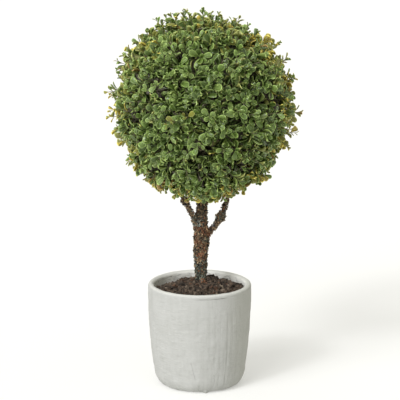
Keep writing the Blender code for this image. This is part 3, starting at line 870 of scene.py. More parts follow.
def straight_limb(start, end, first_radius, last_radius):
    """A straight tapering limb, for the root and the cut stubs."""
    start, end = np.array(start), np.array(end)
    return (lambda t: start + (end - start) * np.asarray(t)[..., None],
            lambda t: first_radius + (last_radius - first_radius) * t)


def stub_of(bough):
    axis, at = bough_axis(bough), bough["knot"][0]
    start = axis(at)
    reach = bough_radius(bough)(at) + 1.4 * MM
    return straight_limb(start, start + unit(np.array(bough["stub"], float)) * reach, 3.4 * MM, 2.2 * MM)


def add_limb(name, tubes, node):
    points, faces = joined([tube[:2] for tube in tubes])
    which = np.concatenate([tube[2][0] for tube in tubes] + [tube[2][1] for tube in tubes])
    add_piece(name, points, faces, BARKS, [node], which=which)


def build_limbs():
    root = straight_limb((3 * MM, -2 * MM, 130 * MM), (4.6 * MM, -12.5 * MM, 123.5 * MM), 4.4 * MM, 4.2 * MM)
    web = straight_limb((4 * MM, 0, 158 * MM), (9.8 * MM, 1.2 * MM, 177 * MM), 5.2 * MM, 3.8 * MM)
    tubes = [bark_tube(trunk_axis, trunk_radius, 400, 132), bark_tube(*root, 34, 64), bark_tube(*web, 60, 64)]
    add_limb("trunk_bark", tubes, "trunk")
    for name, bough in BOUGHS.items():
        tubes = [bark_tube(bough_axis(bough), bough_radius(bough), 250, 72, 0.7),
                 bark_tube(*stub_of(bough), 16, 40, 0.7)]
        add_limb(name + "_bark", tubes, name)


# %% [markdown]
# ## Chips
#
# What makes this bark look glued on is its loose chips and splinters. They are four-sided splinters,
# pointed at one end, set on the limbs at random with the points standing off. Each takes the kind of
# bark of its place, so the rust and lichen patches have ragged edges.

# %% Chips
CHIP_COUNT = 5200
CHIP_SHARES = {"trunk": 0.66, "left_bough": 0.15, "right_bough": 0.19}
FIBRE_COUNT = 130
FIBRE_RINGS = 9


def splinter_shape():
    """A four-sided splinter: a small blunt foot, a wide middle and a point."""
    rings = [(-0.5, 0.22), (0.0, 0.5), (0.32, 0.34)]
    ring = [(1, 0), (0, 1), (-1, 0), (0, -1)]
    points = [(x, r * a, r * b) for x, r in rings for a, b in ring] + [(-0.56, 0, 0), (0.6, 0.1, 0)]
    caps = np.concatenate([fan_faces(0, 4, 12), fan_faces(8, 4, 13, turned=True)])
    return np.array(points, float), [grid_faces(3, 4), caps]


def build_chips():
    """Splinters at random places of each limb, lifted at the pointed end, some almost upright."""
    rng = np.random.default_rng(41)
    rows = []
    for (axis, radius), part in zip(LIMBS, CHIP_SHARES.values()):
        count = int(CHIP_COUNT * part)
        t = rng.uniform(0.0, 0.97, count) ** 0.92
        path, ahead = axis(t), axis(t + 0.01)
        along = unit(ahead - path)
        side = unit(np.cross(along, [0.0, 1.0, 0.0]))
        a = rng.uniform(0, 2 * math.pi, count)[:, None]
        out = side * np.cos(a) + np.cross(along, side) * np.sin(a)
        thin = np.clip(radius(t) / (6.5 * MM), 0.45, 1)
        foot = path + out * (radius(t) - CHIP_STANDS_OUT * thin * 0.35)[:, None]
        rows.append((foot, out, along, rng.uniform(1.9, 4.4, count) * MM * thin**0.6))
    foot, out, along, size = (np.concatenate(column) for column in zip(*rows))
    count = len(foot)
    tilt = 0.15 + 2.0 * rng.uniform(0.0, 1.0, count)[:, None] ** 1.5
    spin = rng.uniform(0, 2 * math.pi, count)[:, None]
    length = unit(along * np.cos(spin) + np.cross(out, along) * np.sin(spin) + out * tilt)
    width = unit(np.cross(out, length))
    wide = rng.uniform(0.45, 0.95, count)[:, None]
    frames = np.stack([length, width * wide, np.cross(length, width) * wide * 0.6], axis=2)
    shape, faces = splinter_shape()
    lumpy = shape[None] * rng.uniform(0.75, 1.2, (count, len(shape), 1))
    foot = foot + length * size[:, None] * 0.3 * np.minimum(tilt, 1)
    points, faces = copies(lumpy, faces, frames * size[:, None, None], foot)
    kind = bark_kind(foot, rng)
    which = np.concatenate([np.repeat(kind, 8), np.repeat(kind, 8)])
    add_piece("bark_chips", points, faces, BARKS, ["trunk"], which=which, smooth=False)


def build_fibres():
    """Thin coir-like strands that run over the bark: radius + 0.3 mm, turning by spin as they rise.

    Their middle is lifted off the bark, and both ends go into it.
    """
    rng = np.random.default_rng(43)
    s = np.linspace(0, 1, FIBRE_RINGS)
    parts, kinds = [], []
    for (axis, radius), part in zip(LIMBS, CHIP_SHARES.values()):
        limb_length = np.linalg.norm(axis(1.0) - axis(0.0))
        for _ in range(int(FIBRE_COUNT * part)):
            length, slant = rng.uniform(6, 17) * MM, rng.uniform(-1.3, 1.3)
            t = rng.uniform(0.02, 0.6) + s * length * math.cos(slant) / limb_length
            spin = rng.uniform(0, 2 * math.pi) + s * length * math.sin(slant) / radius(t)
            path = axis(t)
            along = unit(axis(t + 0.01) - path)
            side = unit(np.cross(along, [0.0, 1.0, 0.0]))
            out = side * np.cos(spin)[:, None] + np.cross(along, side) * np.sin(spin)[:, None]
            lift = rng.uniform(0.6, 1.8) * MM * np.sin(math.pi * s) - 0.2 * MM
            path = path + out * (radius(t) + lift)[:, None]
            ahead = unit(np.gradient(path, axis=0))
            across_it = np.cross(ahead, out)
            a = np.arange(3)[None, :, None] * 2 * math.pi / 3
            ring = out[:, None] * np.cos(a) + across_it[:, None] * np.sin(a)
            parts.append(closed_tube(path[:, None] + ring * rng.uniform(0.16, 0.30) * MM))
            kinds.append(rng.choice([TAN, PALE, LICHEN], p=[0.5, 0.25, 0.25]))
    points, faces = joined(parts)
    which = np.concatenate([np.repeat(kinds, 3 * (FIBRE_RINGS - 1)), np.repeat(kinds, 6)])
    add_piece("bark_fibres", points, faces, BARKS, ["trunk"], which=which)


build_limbs()
build_chips()
build_fibres()

# %% [markdown]
# ## Leaf and twig finishes
#
# The leaves are soft plastic: mid green on top, in a few shades, and olive to gold underneath. Seen from
# the front, a spray in the middle of the ball shows its tops, and one at the outline shows its backs, so
# the ball turns from green to gold at its edge. More warm and gold colour is dealt to the sprays and small
# leaves at the outline as painted glow of light through the leaves, lighter greens to the sprays that
# face up as painted light, and darker colours to the deeper leaves as painted shade. Each leaf has a map
# of its own surface, from stalk to tip and from edge to edge; on it the raised rim is painted lighter
# than the blade as a painted highlight, and the middle, the midrib and the stalk darker as painted shade.

# %% Leaf finishes
LEAF_TOPS = {
    "leaf_deep": (0.104, 0.165, 0.037),
    "leaf_mid": (0.147, 0.234, 0.045),
    "leaf_light": (0.202, 0.298, 0.072),
    "leaf_warm": (0.265, 0.270, 0.050),
    "leaf_gold": (0.400, 0.320, 0.056),
    "leaf_shade": (0.120, 0.108, 0.074),
}
# DEPTH_SHADE is leaf_deep where it is dealt as painted shade; SHADE is leaf_shade, the deepest painted shade.
DEPTH_SHADE, WARM, GOLD, SHADE = 0, 3, 4, 5
LEAF_BACKS = {
    "back_green": (0.165, 0.228, 0.050),
    "back_olive": (0.255, 0.272, 0.074),
    "back_gold": (0.560, 0.435, 0.075),
    "back_brown": (0.330, 0.215, 0.065),
    "back_shade": (0.125, 0.106, 0.076),
}


SHADE_BACK = 4
GOLD_LENGTH = 12.5 * MM
FRESH_TOPS = np.array([0.30, 0.43, 0.26, 0.01])
# Shares for sprays that face up: more light leaves, as painted light from above.
TOP_LIGHT_TOPS = np.array([0.10, 0.34, 0.50, 0.06])
# Shares for sprays at the outline: warm and gold tops, as painted glow of light through the leaves.
OUTLINE_GLOW_TOPS = np.array([0.04, 0.12, 0.16, 0.68])
FRESH_BACKS = np.array([0.80, 0.19, 0.01, 0.0])
# Backs at the outline: more olive, gold and brown, as the same painted glow.
OUTLINE_GLOW_BACKS = np.array([0.07, 0.35, 0.40, 0.18])
# Grey added to the leaf colour for the rim's painted highlight.
RIM_HIGHLIGHT_GREY = (0.13, 0.15, 0.07)


def leaf_paint(name, colour):
    """A plain colour by leaf with random darker blotches; the raised rim is painted lighter as a painted
    highlight, and the middle, midrib and stalk darker as painted shade.
    """
    paint = Paint(name, 0.30)
    surface = paint.node("TexCoord", out="UV")
    along = paint.node("SeparateXYZ", None, {"Vector": surface}, out="X")
    side = abs(paint.node("SeparateXYZ", None, {"Vector": surface}, out="Y") - 0.5)
    # rim lifts the edge in the bump, and marks where the colour gets a painted highlight.
    rim = 1 - (1 - side.step(0.34, 0.40)) * (1 - along.step(0.87, 0.93))
    stalk = along.step(0.38, 0.0)
    rib = side.step(0.06, 0.0)
    middle = side.step(0.30, 0.0)
    # light is the colour of the rim's painted highlight: the leaf's colour brightened, plus grey.
    light = tuple(min(1, c * 1.7 + grey) for c, grey in zip(colour, RIM_HIGHLIGHT_GREY))
    # dark serves random blotches and the painted shade of the middle, midrib and stalk.
    dark = tuple(c * 0.5 + 0.004 for c in colour)
    shade = paint.mix(paint.noise(90, 2).step(0.3, 0.75) * 0.3, colour, dark)
    # Painted shade: the middle of the blade and the midrib groove are darkened.
    shade = paint.mix(middle * 0.34 + rib * 0.15, shade, dark)
    # Painted highlight: the rim is lightened.
    shade = paint.mix(rim * (1 if "shade" not in name else 0.2), shade, light)
    # Painted shade: the stalk end is darkened.
    shade = paint.mix(stalk * 0.6, shade, dark)
    paint.colour(shade)
    paint.put(paint.shader, "Roughness", 0.15 + paint.noise(500, 2) * 0.18)
    paint.bump(rim * 0.8 - rib * 0.4 + paint.noise(900, 2) * 0.25, 0.5 * MM, 0.8)
    return paint.material


def twig_paint():
    paint = Paint("twig", 0.75)
    colour = paint.mix(paint.noise(160, 3).step(0.35, 0.65), (0.17, 0.16, 0.085), (0.125, 0.098, 0.054))
    paint.colour(colour)
    paint.bump(paint.noise(1200, 2), 0.3 * MM, 0.5)
    return paint.material


def core_paint():
    paint = Paint("ball_core", 0.9)
    strands = paint.noise(240, 4, rough=0.7)
    colour = paint.mix(strands.step(0.4, 0.65), (0.130, 0.112, 0.078), (0.240, 0.205, 0.140))
    paint.colour(colour)
    paint.bump(strands, 2 * MM, 0.8)
    return paint.material


LEAF_MATERIALS = [leaf_paint(name, colour) for name, colour in {**LEAF_TOPS, **LEAF_BACKS}.items()]
TWIG = twig_paint()
CORE = core_paint()

# %% [markdown]
# ## How the ball grows
#
# The rule is the source's, carried to finer twigs. Leaders stand out of the core, spread evenly along a
# golden spiral. Each has side shoots, spaced round it by quarter turns, that bend outwards as they
# grow. Every shoot carries leaves in pairs, each pair square to the one before. Clipping sets how far a
# spray may reach, and what would leave that space or touch a limb is skipped.

# %% Shoots
SPRAY_SEED = 14
SPIRAL_COUNT = 208
UNDERSIDE_COUNT = 40
UNDERSIDE_TOP = -0.74
LEADER_COUNT = SPIRAL_COUNT + UNDERSIDE_COUNT
SIDE_SHOOTS = 4
SHOOT_ROOT = 70 * MM
CORE_RADIUS = 76 * MM
SHOOT_RINGS = 6
INNER_TWIGS = 900
SPRIG_COUNT = 260
SPRIG_ROOT = 0.72
GOLDEN_ANGLE = math.pi * (3 - math.sqrt(5))
LIMB_AIR = 1.2 * MM
rng = np.random.default_rng(SPRAY_SEED)


def spiral(count, top=1.0):
    """Even directions from height -1 up to top: equal steps of height, a golden angle further at each."""
    i = np.arange(count)
    height = -1 + (top + 1) * (i + 0.5) / count
    ring = np.sqrt(1 - height**2)
    return np.stack([ring * np.cos(i * GOLDEN_ANGLE), ring * np.sin(i * GOLDEN_ANGLE), height], axis=1)


def any_side(directions, angle):
    """A direction square to each given one, at that angle round it."""
    helper = np.where(np.abs(directions[:, 2:3]) < 0.9, [[0.0, 0.0, 1.0]], [[1.0, 0.0, 0.0]])
    side = unit(np.cross(directions, helper))
    return side * np.cos(angle)[:, None] + np.cross(directions, side) * np.sin(angle)[:, None]


def limb_samples():
    t = np.linspace(0, 1, 120)
    return (np.concatenate([axis(t) for axis, _ in LIMBS]),
            np.concatenate([radius(t) for _, radius in LIMBS]))


LIMB_POINTS, LIMB_RADII = limb_samples()


def clear_of_limbs(points):
    """For each row of points: whether all of them keep off the bark of every limb."""
    low = points.reshape(-1, 3)
    clear = np.ones(len(low), bool)
    near = low[:, 2] < BALL_CENTRE[2] - 50 * MM
    away = np.linalg.norm(low[near][:, None] - LIMB_POINTS[None], axis=2) - LIMB_RADII
    clear[near] = away.min(axis=1) > LIMB_AIR
    return clear.reshape(points.shape[:-1]).all(axis=-1)


def curve_points(p0, p1, p2, t):
    """Points on each quadratic curve: (1-t)^2 p0 + 2 (1-t) t p1 + t^2 p2."""
    t = np.asarray(t)[None, :, None]
    return p0[:, None] * (1 - t) ** 2 + p1[:, None] * 2 * (1 - t) * t + p2[:, None] * t**2


def leaders():
    """Root, elbow and tip of each leader, and the reach of its spray.

    Clipping leaves hollows between the sprays, so the reach differs. The underside hangs full.
    """
    even = np.concatenate([spiral(SPIRAL_COUNT), spiral(UNDERSIDE_COUNT, UNDERSIDE_TOP)])
    out = unit(even + rng.normal(0, 0.045, (LEADER_COUNT, 3)))
    hollow = 0.062 + 0.13 * rng.uniform(0, 1, LEADER_COUNT)
    hollow = hollow * (1 - 0.75 * soft_step(-0.55, -0.75, out[:, 2]))
    reach = BALL_REACH * (1 - hollow)
    lean = any_side(out, rng.uniform(0, 2 * math.pi, LEADER_COUNT)) * rng.uniform(0.05, 0.5, (LEADER_COUNT, 1))
    root = BALL_CENTRE + out * SHOOT_ROOT
    grow = (reach - SHOOT_ROOT - 4.5 * MM)[:, None]
    return root, root + out * grow * 0.5, root + unit(out + lean) * grow, out, reach


def side_shoots(root, elbow, tip, out, reach):
    """Side shoots leave their leader at rising places and turn outwards by the end."""
    sets = []
    start_turn = rng.uniform(0, 2 * math.pi, len(root))
    for k in range(SIDE_SHOOTS):
        place = rng.uniform(0.18, 0.30, len(root)) + 0.14 * k
        base = np.stack([curve_points(root[i:i + 1], elbow[i:i + 1], tip[i:i + 1], [place[i]])[0, 0]
                         for i in range(len(root))])
        along = unit(tip - root)
        side = any_side(along, start_turn + k * 2 * math.pi / SIDE_SHOOTS + rng.normal(0, 0.35, len(root)))
        length = rng.uniform(15, 25, len(root))[:, None] * MM * (1 - 0.10 * k)
        middle = base + unit(along * 0.7 + side) * length * 0.55
        end = middle + unit(unit(middle - BALL_CENTRE) + side * 0.85) * length * 0.5
        away = np.linalg.norm(end - BALL_CENTRE, axis=1)
        limit = reach * rng.uniform(0.82, 0.975, len(root))
        pull = np.minimum(1, limit / away)[:, None]
        end = BALL_CENTRE + (end - BALL_CENTRE) * pull
        sets.append((base, middle, end, out, reach))
    return [np.concatenate(rows) for rows in zip(*sets)]


def sprigs():
    """Lone thin shoots that stand out between the sprays, each with the number of the spray it is nearest to."""
    out = unit(spiral(SPRIG_COUNT) + rng.normal(0, 0.06, (SPRIG_COUNT, 3)))
    reach = BALL_REACH * rng.uniform(0.885, 1.0, SPRIG_COUNT)
    side = any_side(out, rng.uniform(0, 2 * math.pi, SPRIG_COUNT))
    root = BALL_CENTRE + out * reach[:, None] * SPRIG_ROOT
    bent = unit(out + side * rng.uniform(0.02, 0.13, (SPRIG_COUNT, 1)))
    tip = BALL_CENTRE + bent * (reach - 4.5 * MM)[:, None]
    elbow = (root + tip) / 2 + out * 2 * MM
    return (root, elbow, tip, out, reach), np.argmax(out @ lead[3].T, axis=1)


lead = leaders()
sides = side_shoots(*lead)
lone, lone_spray = sprigs()
shoots = [np.concatenate(sets) for sets in zip(lead, sides, lone)]
spray_number = np.concatenate([np.arange(LEADER_COUNT)] * (1 + SIDE_SHOOTS) + [lone_spray])
is_leader = np.arange(len(spray_number)) < LEADER_COUNT
is_sprig = np.arange(len(spray_number)) >= LEADER_COUNT * (1 + SIDE_SHOOTS)
keep = clear_of_limbs(curve_points(*shoots[:3], np.linspace(0.1, 1, 8)))
shoots = [rows[keep] for rows in shoots]
is_leader, is_sprig, spray_number = is_leader[keep], is_sprig[keep], spray_number[keep]
print(f"{len(is_leader)} shoots, {(~keep).sum()} skipped")


# %% Twigs
def add_twigs(name, path, thick):
    """Four-sided tubes round each path, of the given radius at each of its rings, closed by end points."""
    along = unit(np.gradient(path, axis=1))
    side = unit(np.cross(along, [0.3, 0.5, 0.81]))
    other = np.cross(along, side)
    a = np.arange(4) * math.pi / 2
    ring = side[:, :, None] * np.cos(a)[:, None] + other[:, :, None] * np.sin(a)[:, None]
    rings = path[:, :, None] + ring * thick[:, :, None, None]
    rows = path.shape[1]
    count = rows * 4
    points = np.concatenate([rings.reshape(len(path), count, 3), path[:, :1], path[:, -1:]], axis=1)
    caps = np.concatenate([fan_faces(0, 4, count), fan_faces(count - 4, 4, count + 1, turned=True)])
    first = np.arange(len(path))[:, None, None] * (count + 2)
    faces = [(f[None] + first).reshape(-1, f.shape[1]) for f in (grid_faces(rows, 4), caps)]
    return add_piece(name, points.reshape(-1, 3), faces, [TWIG], ["foliage_ball"])


def build_twigs():
    """One twig along each shoot, thinner towards its tip."""
    t = np.linspace(0, 1, SHOOT_RINGS)
    thick = np.where(is_leader, 1.0, np.where(is_sprig, 0.55, 0.7))[:, None] * MM * (1 - 0.5 * t)[None]
    add_twigs("twigs", curve_points(*shoots[:3], t), thick)


def build_inner_twigs():
    """Short bent twigs that cross over the core every way, seen only in the gaps."""
    rng = np.random.default_rng(61)
    out = unit(rng.normal(size=(INNER_TWIGS, 3)))
    side = any_side(out, rng.uniform(0, 2 * math.pi, INNER_TWIGS))
    start = BALL_CENTRE + out * (CORE_RADIUS - 1 * MM)
    half = rng.uniform(8, 16, INNER_TWIGS)[:, None] * MM
    middle = start + side * half + out * rng.uniform(4, 9, INNER_TWIGS)[:, None] * MM
    end = middle + side * half + out * rng.uniform(-4, 7, INNER_TWIGS)[:, None] * MM
    path = curve_points(start, middle, end, np.linspace(0, 1, 5))
    path = path[clear_of_limbs(path)]
    add_twigs("inner_twigs", path, np.full(path.shape[:2], 0.55 * MM))


build_twigs()
build_inner_twigs()

# %% [markdown]
# ## One leaf
#
# A boxwood leaf is a spoon: a short stalk, a blade that is widest past its middle, a round tip, and two
# halves that rise from the midrib like a shallow trough. It is a grid, with u from stalk to tip and v
# from edge to edge. A second sheet just below it is the back. The two share the rim, so the leaf is
# closed and has a real thickness. With so many leaves, each has only a few dozen faces, and smooth
# shading rounds the trough.

# %% Leaf shape
LEAF_ROWS = np.array([0.0, 0.13, 0.29, 0.46, 0.61, 0.75, 0.87, 0.95])
LEAF_LENGTH = 15.0 * MM
LEAF_ASPECT = 0.52
LEAF_THICKNESS = 0.045
WIDEST = 0.74


def leaf_width(u):
    """Half the width, as a share of the most: b^a (1 - b)^c, which is widest at a / (a + c), plus a stalk."""
    blade = np.clip((u - 0.06) / 0.94, 0, 1)
    c = 0.46
    a = c * WIDEST / (1 - WIDEST)
    most = WIDEST**a * (1 - WIDEST) ** c
    return 0.10 * (1 - u) + blade**a * (1 - blade) ** c / most


def leaf_shape(trough, droop):
    """Points, faces, surface map and back faces of a leaf of length 1.

    The rim is at z = trough w - droop u^2 + 0.05 sin(pi u), and the midrib is there without its trough.
    """
    u = LEAF_ROWS
    rows = len(u)
    width = leaf_width(u)
    rib = 0.05 * np.sin(math.pi * u) - droop * u**2
    edge = width * LEAF_ASPECT / 2
    left = np.stack([u, -edge, rib + trough * width], axis=1)
    right = np.stack([u, edge, rib + trough * width], axis=1)
    middle = np.stack([u, 0 * u, rib], axis=1)
    under = middle - [0, 0, LEAF_THICKNESS]
    tip = np.array([[1, 0, trough * 0.45 - droop]])
    points = np.concatenate([left, middle, right, under, tip])
    i = np.arange(rows - 1)
    end = 4 * rows

    def strip(first, second):
        return np.stack([first + i, first + i + 1, second + i + 1, second + i], axis=1)

    tops = np.concatenate([strip(0, rows), strip(rows, 2 * rows)])
    backs = np.concatenate([strip(3 * rows, 0), strip(2 * rows, 3 * rows)])
    last = rows - 1
    top_tips = np.array([[last, end, rows + last], [rows + last, end, 2 * rows + last]])
    back_tips = np.array([[3 * rows + last, end, last], [2 * rows + last, end, 3 * rows + last]])
    stalk = np.array([[0, rows, 3 * rows], [rows, 2 * rows, 3 * rows]])
    quads = np.concatenate([tops, backs])
    tris = np.concatenate([top_tips, back_tips, stalk])
    across = np.repeat([0.0, 0.5, 1.0, 0.5], rows)
    uv = np.concatenate([np.stack([np.tile(u, 4), across], axis=1), [[1, 0.5]]])
    is_back = (np.arange(len(quads)) >= len(tops), np.arange(len(tris)) >= len(top_tips))
    return points, (quads, tris), uv, is_back


# %% [markdown]
# ## Leaves on the shoots
#
# A pair of leaves leaves the shoot at each node. A leaf makes a wide angle with the shoot low down and a
# narrow one at the tip, where the leaves are smaller too, so that the end of a shoot looks like a small
# cup. Its upper face looks towards the shoot's end. All leaves of one sector of the ball are one mesh.

# %% Leaves
NODE_PLACES = [0.38, 0.60, 0.81, 1.0]
NODE_LIFTS = [68, 62, 52, 32]
NODE_SIZES = [0.92, 1.0, 0.92, 0.66]
FACE_OUT = 0.18
SPRIG_NODES = 1
SPRIG_LEAF = 0.72
LEAF_SHAPES = [(0.08, 0.05), (0.13, 0.0), (0.17, -0.06), (0.05, 0.12)]
SECTORS = 6


def leaf_rows():
    """Place, frame and length of every leaf, and the number of its spray, as arrays.

    A leaf's line makes the node's angle with the shoot. Its upper face looks along the shoot, and a
    share of the ball's own outward direction is added, since leaves turn their faces to the light.
    """
    tables = []
    start_turn = rng.uniform(0, 2 * math.pi, len(is_leader))
    for node, (share, angle, scale) in enumerate(zip(NODE_PLACES, NODE_LIFTS, NODE_SIZES)):
        at = curve_points(*shoots[:3], [share - 0.01, share])
        along = unit(at[:, 1] - at[:, 0])
        outwards = unit(at[:, 1] - BALL_CENTRE)
        for half in range(2):
            turn = start_turn + node * math.pi / 2 + half * math.pi + rng.normal(0, 0.3, len(along))
            side = any_side(along, turn)
            lift = np.radians(angle + rng.normal(0, 12, len(along)))[:, None]
            line = unit(along * np.cos(lift) + side * np.sin(lift))
            upper = unit(along * np.sin(lift) - side * np.cos(lift)) + FACE_OUT * outwards
            upper = unit(upper - line * (upper * line).sum(axis=1, keepdims=True))
            roll = rng.normal(0, 0.42, len(along))[:, None]
            upper = upper * np.cos(roll) + np.cross(upper, line) * np.sin(roll)
            size = LEAF_LENGTH * scale * rng.uniform(0.65, 1.15, len(along))
            size = size * np.where(is_sprig, SPRIG_LEAF * (node >= SPRIG_NODES), 1)
            wide = rng.uniform(0.80, 1.15, len(along))[:, None]
            frames = np.stack([line, np.cross(upper, line) * wide, upper], axis=2)
            tables.append((at[:, 1], frames, size, spray_number))
    return [np.concatenate(column) for column in zip(*tables)]


place, turned, length, spray = leaf_rows()
tip = place + turned[:, :, 0] * length[:, None]
limit = BALL_REACH * 0.997
away = np.linalg.norm(tip - BALL_CENTRE, axis=1)
length = length * np.clip(1 - (away - limit) / np.maximum(length, 1 * MM), 0, 1)
spine = place[:, None] + turned[:, None, :, 0] * (length[:, None] * [0.3, 0.65, 1])[..., None]
fits = (length > 3.6 * MM) & clear_of_limbs(spine)
deep = np.linalg.norm(place - BALL_CENTRE, axis=1) < CORE_RADIUS
fits &= ~deep
place, turned, length, spray = place[fits], turned[fits], length[fits], spray[fits]
print(f"{len(length)} leaves, {(~fits).sum()} skipped")


def deal(rows, rolls):
    """For each roll from 0 to 1, the number of the column it falls in, where rows are shares."""
    return (rolls[:, None] > np.cumsum(rows, axis=1)[:, :-1]).sum(axis=1)


def deal_colours():
    """A top and a back colour for each leaf: dealt by spray, with a few odd leaves in each.

    A blend of three sets of shares: fresh growth; more light leaves on the sprays that face up, as
    painted light from above; and warm and gold leaves on the sprays that face left, right, up and down,
    away from front and back, as painted glow of light through the leaves at the outline. The right and
    the underside have the most of that glow, and small outer leaves there turn gold as more of it.
    Leaves a little deeper in are dark green, and the deepest dark and brownish, as painted shade.
    """
    out = shoots_out_by_spray
    # Painted glow of light through the leaves: sprays that face sideways to the front, most on the right and the
    # underside, get warm and gold colours.
    side_on = soft_step(0.60, 0.20, np.abs(out[:, 1]))
    outline_glow = side_on * np.clip(0.80 + 0.25 * out[:, 0] - 0.25 * out[:, 2], 0, 1)
    below = soft_step(-0.80, -0.93, out[:, 2]) * soft_step(0.0, 0.2, out[:, 0])
    outline_glow = np.maximum(outline_glow, below)[:, None]
    # Painted light from above: sprays that face up get more light leaves.
    lit_from_above = soft_step(0.25, 0.8, out[:, 2])[:, None]
    top_shares = (FRESH_TOPS * (1 - lit_from_above) + TOP_LIGHT_TOPS * lit_from_above) * (1 - outline_glow) + OUTLINE_GLOW_TOPS * outline_glow
    back_shares = FRESH_BACKS * (1 - outline_glow) + OUTLINE_GLOW_BACKS * outline_glow
    tops = deal(top_shares, rng.uniform(0, 1, LEADER_COUNT))[spray]
    backs = deal(back_shares, rng.uniform(0, 1, LEADER_COUNT))[spray]
    odd = rng.uniform(0, 1, len(spray)) < 0.45
    tops = np.where(odd, deal(top_shares[spray], rng.uniform(0, 1, len(spray))), tops)
    backs = np.where(odd, deal(back_shares[spray], rng.uniform(0, 1, len(spray))), backs)
    away = np.linalg.norm(place - BALL_CENTRE, axis=1)
    # Painted glow: small warm leaves near the outline, facing sideways to the front, turn gold.
    side_on_leaf = soft_step(0.42, 0.16, np.abs(unit(place - BALL_CENTRE)[:, 1]))
    gold_share = np.clip(0.38 + 0.45 * np.maximum(out[:, 0], 0) - 0.5 * out[:, 2], 0.06, 1)[spray]
    gold_share = gold_share * side_on_leaf * soft_step(0.86, 0.92, away / BALL_REACH)
    golden = rng.uniform(0, 1, len(spray)) < gold_share
    tops = np.where(golden & (tops == WARM) & (length < GOLD_LENGTH), GOLD, tops)
    # Painted shade by depth: leaves a little deep in their spray turn dark green, and the deepest dark brownish.
    depth = away / lead[4][spray]
    tops = np.where(rng.uniform(0, 1, len(spray)) < 0.75 * soft_step(0.94, 0.85, depth), DEPTH_SHADE, tops)
    painted_deep_shade = rng.uniform(0, 1, len(spray)) < 0.88 * soft_step(0.85, 0.75, depth)
    tops, backs = np.where(painted_deep_shade, SHADE, tops), np.where(painted_deep_shade, SHADE_BACK, backs)
    return tops, backs + len(LEAF_TOPS)


shoots_out_by_spray = lead[3]
top_colour, back_colour = deal_colours()
shape_number = rng.integers(0, len(LEAF_SHAPES), len(spray))
where = np.arctan2(place[:, 1], place[:, 0] - BALL_CENTRE[0]) / (2 * math.pi) + 0.5
sector = np.minimum((where * SECTORS).astype(int), SECTORS - 1)


def build_leaves(number):
    """All leaves of one sector, shape by shape, joined into one mesh with the eleven leaf finishes."""
    parts, which, maps = [], [[], []], []
    for k, bend in enumerate(LEAF_SHAPES):
        rows = (sector == number) & (shape_number == k)
        points, faces, uv, is_back = leaf_shape(*bend)
        frames = turned[rows] * length[rows][:, None, None]
        parts.append(copies(points, faces, frames, place[rows]))
        for kind, back in zip(which, is_back):
            kind.append(np.where(back[None], back_colour[rows][:, None], top_colour[rows][:, None]).ravel())
        maps.append(np.tile(uv, (rows.sum(), 1)))
    points, faces = joined(parts)
    which = np.concatenate([np.concatenate(kind) for kind in which])
    return add_piece(f"leaves_{number + 1}", points, faces, LEAF_MATERIALS, ["foliage_ball"],
                     which=which, uv=np.concatenate(maps))


for number in range(SECTORS):
    build_leaves(number)

# %% [markdown]
# ## The core
#
# Behind the leaves the real ball has a dark middle, which shows as brown-black gaps. It is a sphere
# whose radius wanders by a few millimetres.

# %% Core
def build_core():
    """Rings of a sphere, r = radius + lumps, from pole to pole."""
    lat = np.linspace(0, math.pi, 60)[1:-1]
    lon = np.linspace(0, 2 * math.pi, 110, endpoint=False)
    ring = np.stack([
        np.sin(lat)[:, None] * np.cos(lon),
        np.sin(lat)[:, None] * np.sin(lon),
        np.broadcast_to(np.cos(lat)[:, None], (len(lat), len(lon))),
    ], axis=2)
    lumps = layered_noise(ring.reshape(-1, 3) * CORE_RADIUS, 16 * MM, 51).reshape(*ring.shape[:2], 1)
    points, faces = closed_tube(BALL_CENTRE + ring * (CORE_RADIUS + 3 * MM * lumps))
    return add_piece("ball_core", points, faces, [CORE], ["foliage_ball"])


build_core()

# %% [markdown]
# ## Floor, light and camera
#
# The photo is a catalogue cut-out on white. The floor is pale and big enough to fill the frame. A dome
# that is brighter overhead lights it evenly, as a ceiling of soft boxes would, and a very wide sun from
# the front left is the key: unlike a lamp, it is as strong at the back of the floor as at the front.
# The camera looks down by about fourteen degrees through a long lens.

# %% Stage
CAMERA_FAR = 2.6
CAMERA_DOWN = math.radians(13.4)
PIXEL = 1.1763 * MM
IMAGE = 400
RIM_PX = (199.6, 282.5)
LENS_TRIM = 1.006
SENSOR = 0.036
KEY_TURN = math.radians(39)
KEY_RISE = math.radians(36)
FLOOR_GLOW = 0.34
DOME_LOW = 0.14
DOME_HIGH = 0.98
DOME_LOW_COLOUR = (1.0, 0.99, 0.82)
DOME_HIGH_COLOUR = (1.0, 0.99, 0.97)


def add_floor():
    bpy.ops.mesh.primitive_plane_add(size=16, location=(0, 0, 0))
    floor = bpy.context.object
    floor.name = "floor"
    paint = Paint("pale_floor", 0.9, Emission_Color=(1.0, 1.0, 0.975), Emission_Strength=FLOOR_GLOW)
    paint.colour(paint.mix(paint.noise(3, 2) * 0.1, (0.60, 0.60, 0.58), (0.59, 0.59, 0.57)))
    floor.data.materials.append(paint.material)


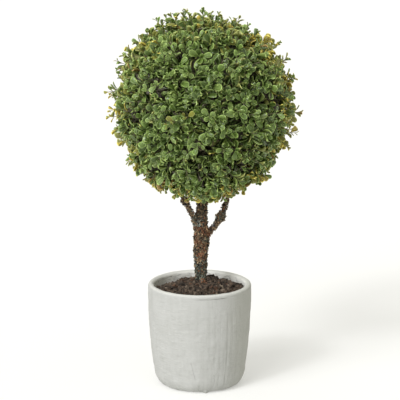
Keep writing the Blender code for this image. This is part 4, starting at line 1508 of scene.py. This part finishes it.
def add_dome():
    """A world whose light grows from the horizon to the zenith, and is warmer low down."""
    world = bpy.data.worlds.new("studio_dome")
    world.use_nodes = True
    tree = world.node_tree
    place = tree.nodes.new("ShaderNodeTexCoord")
    split = tree.nodes.new("ShaderNodeSeparateXYZ")
    rise = tree.nodes.new("ShaderNodeMapRange")
    rise.inputs["From Min"].default_value = 0.0
    rise.inputs["From Max"].default_value = 1.0
    rise.inputs["To Min"].default_value = DOME_LOW
    rise.inputs["To Max"].default_value = DOME_HIGH
    tint = tree.nodes.new("ShaderNodeMix")
    tint.data_type = "RGBA"
    tint.inputs[6].default_value = (*DOME_LOW_COLOUR, 1)
    tint.inputs[7].default_value = (*DOME_HIGH_COLOUR, 1)
    tree.links.new(place.outputs["Generated"], split.inputs["Vector"])
    tree.links.new(split.outputs["Z"], rise.inputs["Value"])
    tree.links.new(split.outputs["Z"], tint.inputs[0])
    background = tree.nodes["Background"]
    tree.links.new(tint.outputs[2], background.inputs["Color"])
    tree.links.new(rise.outputs["Result"], background.inputs["Strength"])
    bpy.context.scene.world = world


def add_key(strength, angle):
    """A sun from the front left, KEY_RISE above the floor, as soft as its angle in degrees is wide."""
    data = bpy.data.lights.new("key", "SUN")
    data.energy = strength * math.pi
    data.angle = math.radians(angle)
    data.color = (1.0, 1.0, 1.04)
    lamp = bpy.data.objects.new("key", data)
    bpy.context.scene.collection.objects.link(lamp)
    lamp.rotation_euler = (math.pi / 2 - KEY_RISE, 0, -KEY_TURN)


def add_camera():
    """A long lens at azimuth 0. The point at the image's centre is found from the pot rim's pixel."""
    up = (RIM_PX[1] - IMAGE / 2) * PIXEL / math.cos(CAMERA_DOWN)
    target = np.array([(IMAGE / 2 - RIM_PX[0]) * PIXEL, 0, POT_HEIGHT + up])
    data = bpy.data.cameras.new("camera")
    data.sensor_width = SENSOR * 1000
    data.lens = LENS_TRIM * 1000 * SENSOR * CAMERA_FAR / (IMAGE * PIXEL)
    data.clip_end = 60
    camera = bpy.data.objects.new("camera", data)
    bpy.context.scene.collection.objects.link(camera)
    camera.location = target + CAMERA_FAR * np.array([0, -math.cos(CAMERA_DOWN), math.sin(CAMERA_DOWN)])
    camera.rotation_euler = (math.pi / 2 - CAMERA_DOWN, 0, 0)
    bpy.context.scene.camera = camera


add_floor()
add_dome()
add_key(0.62, 40)
add_key(0.24, 10)
add_camera()
bpy.context.scene.view_settings.view_transform = "Standard"
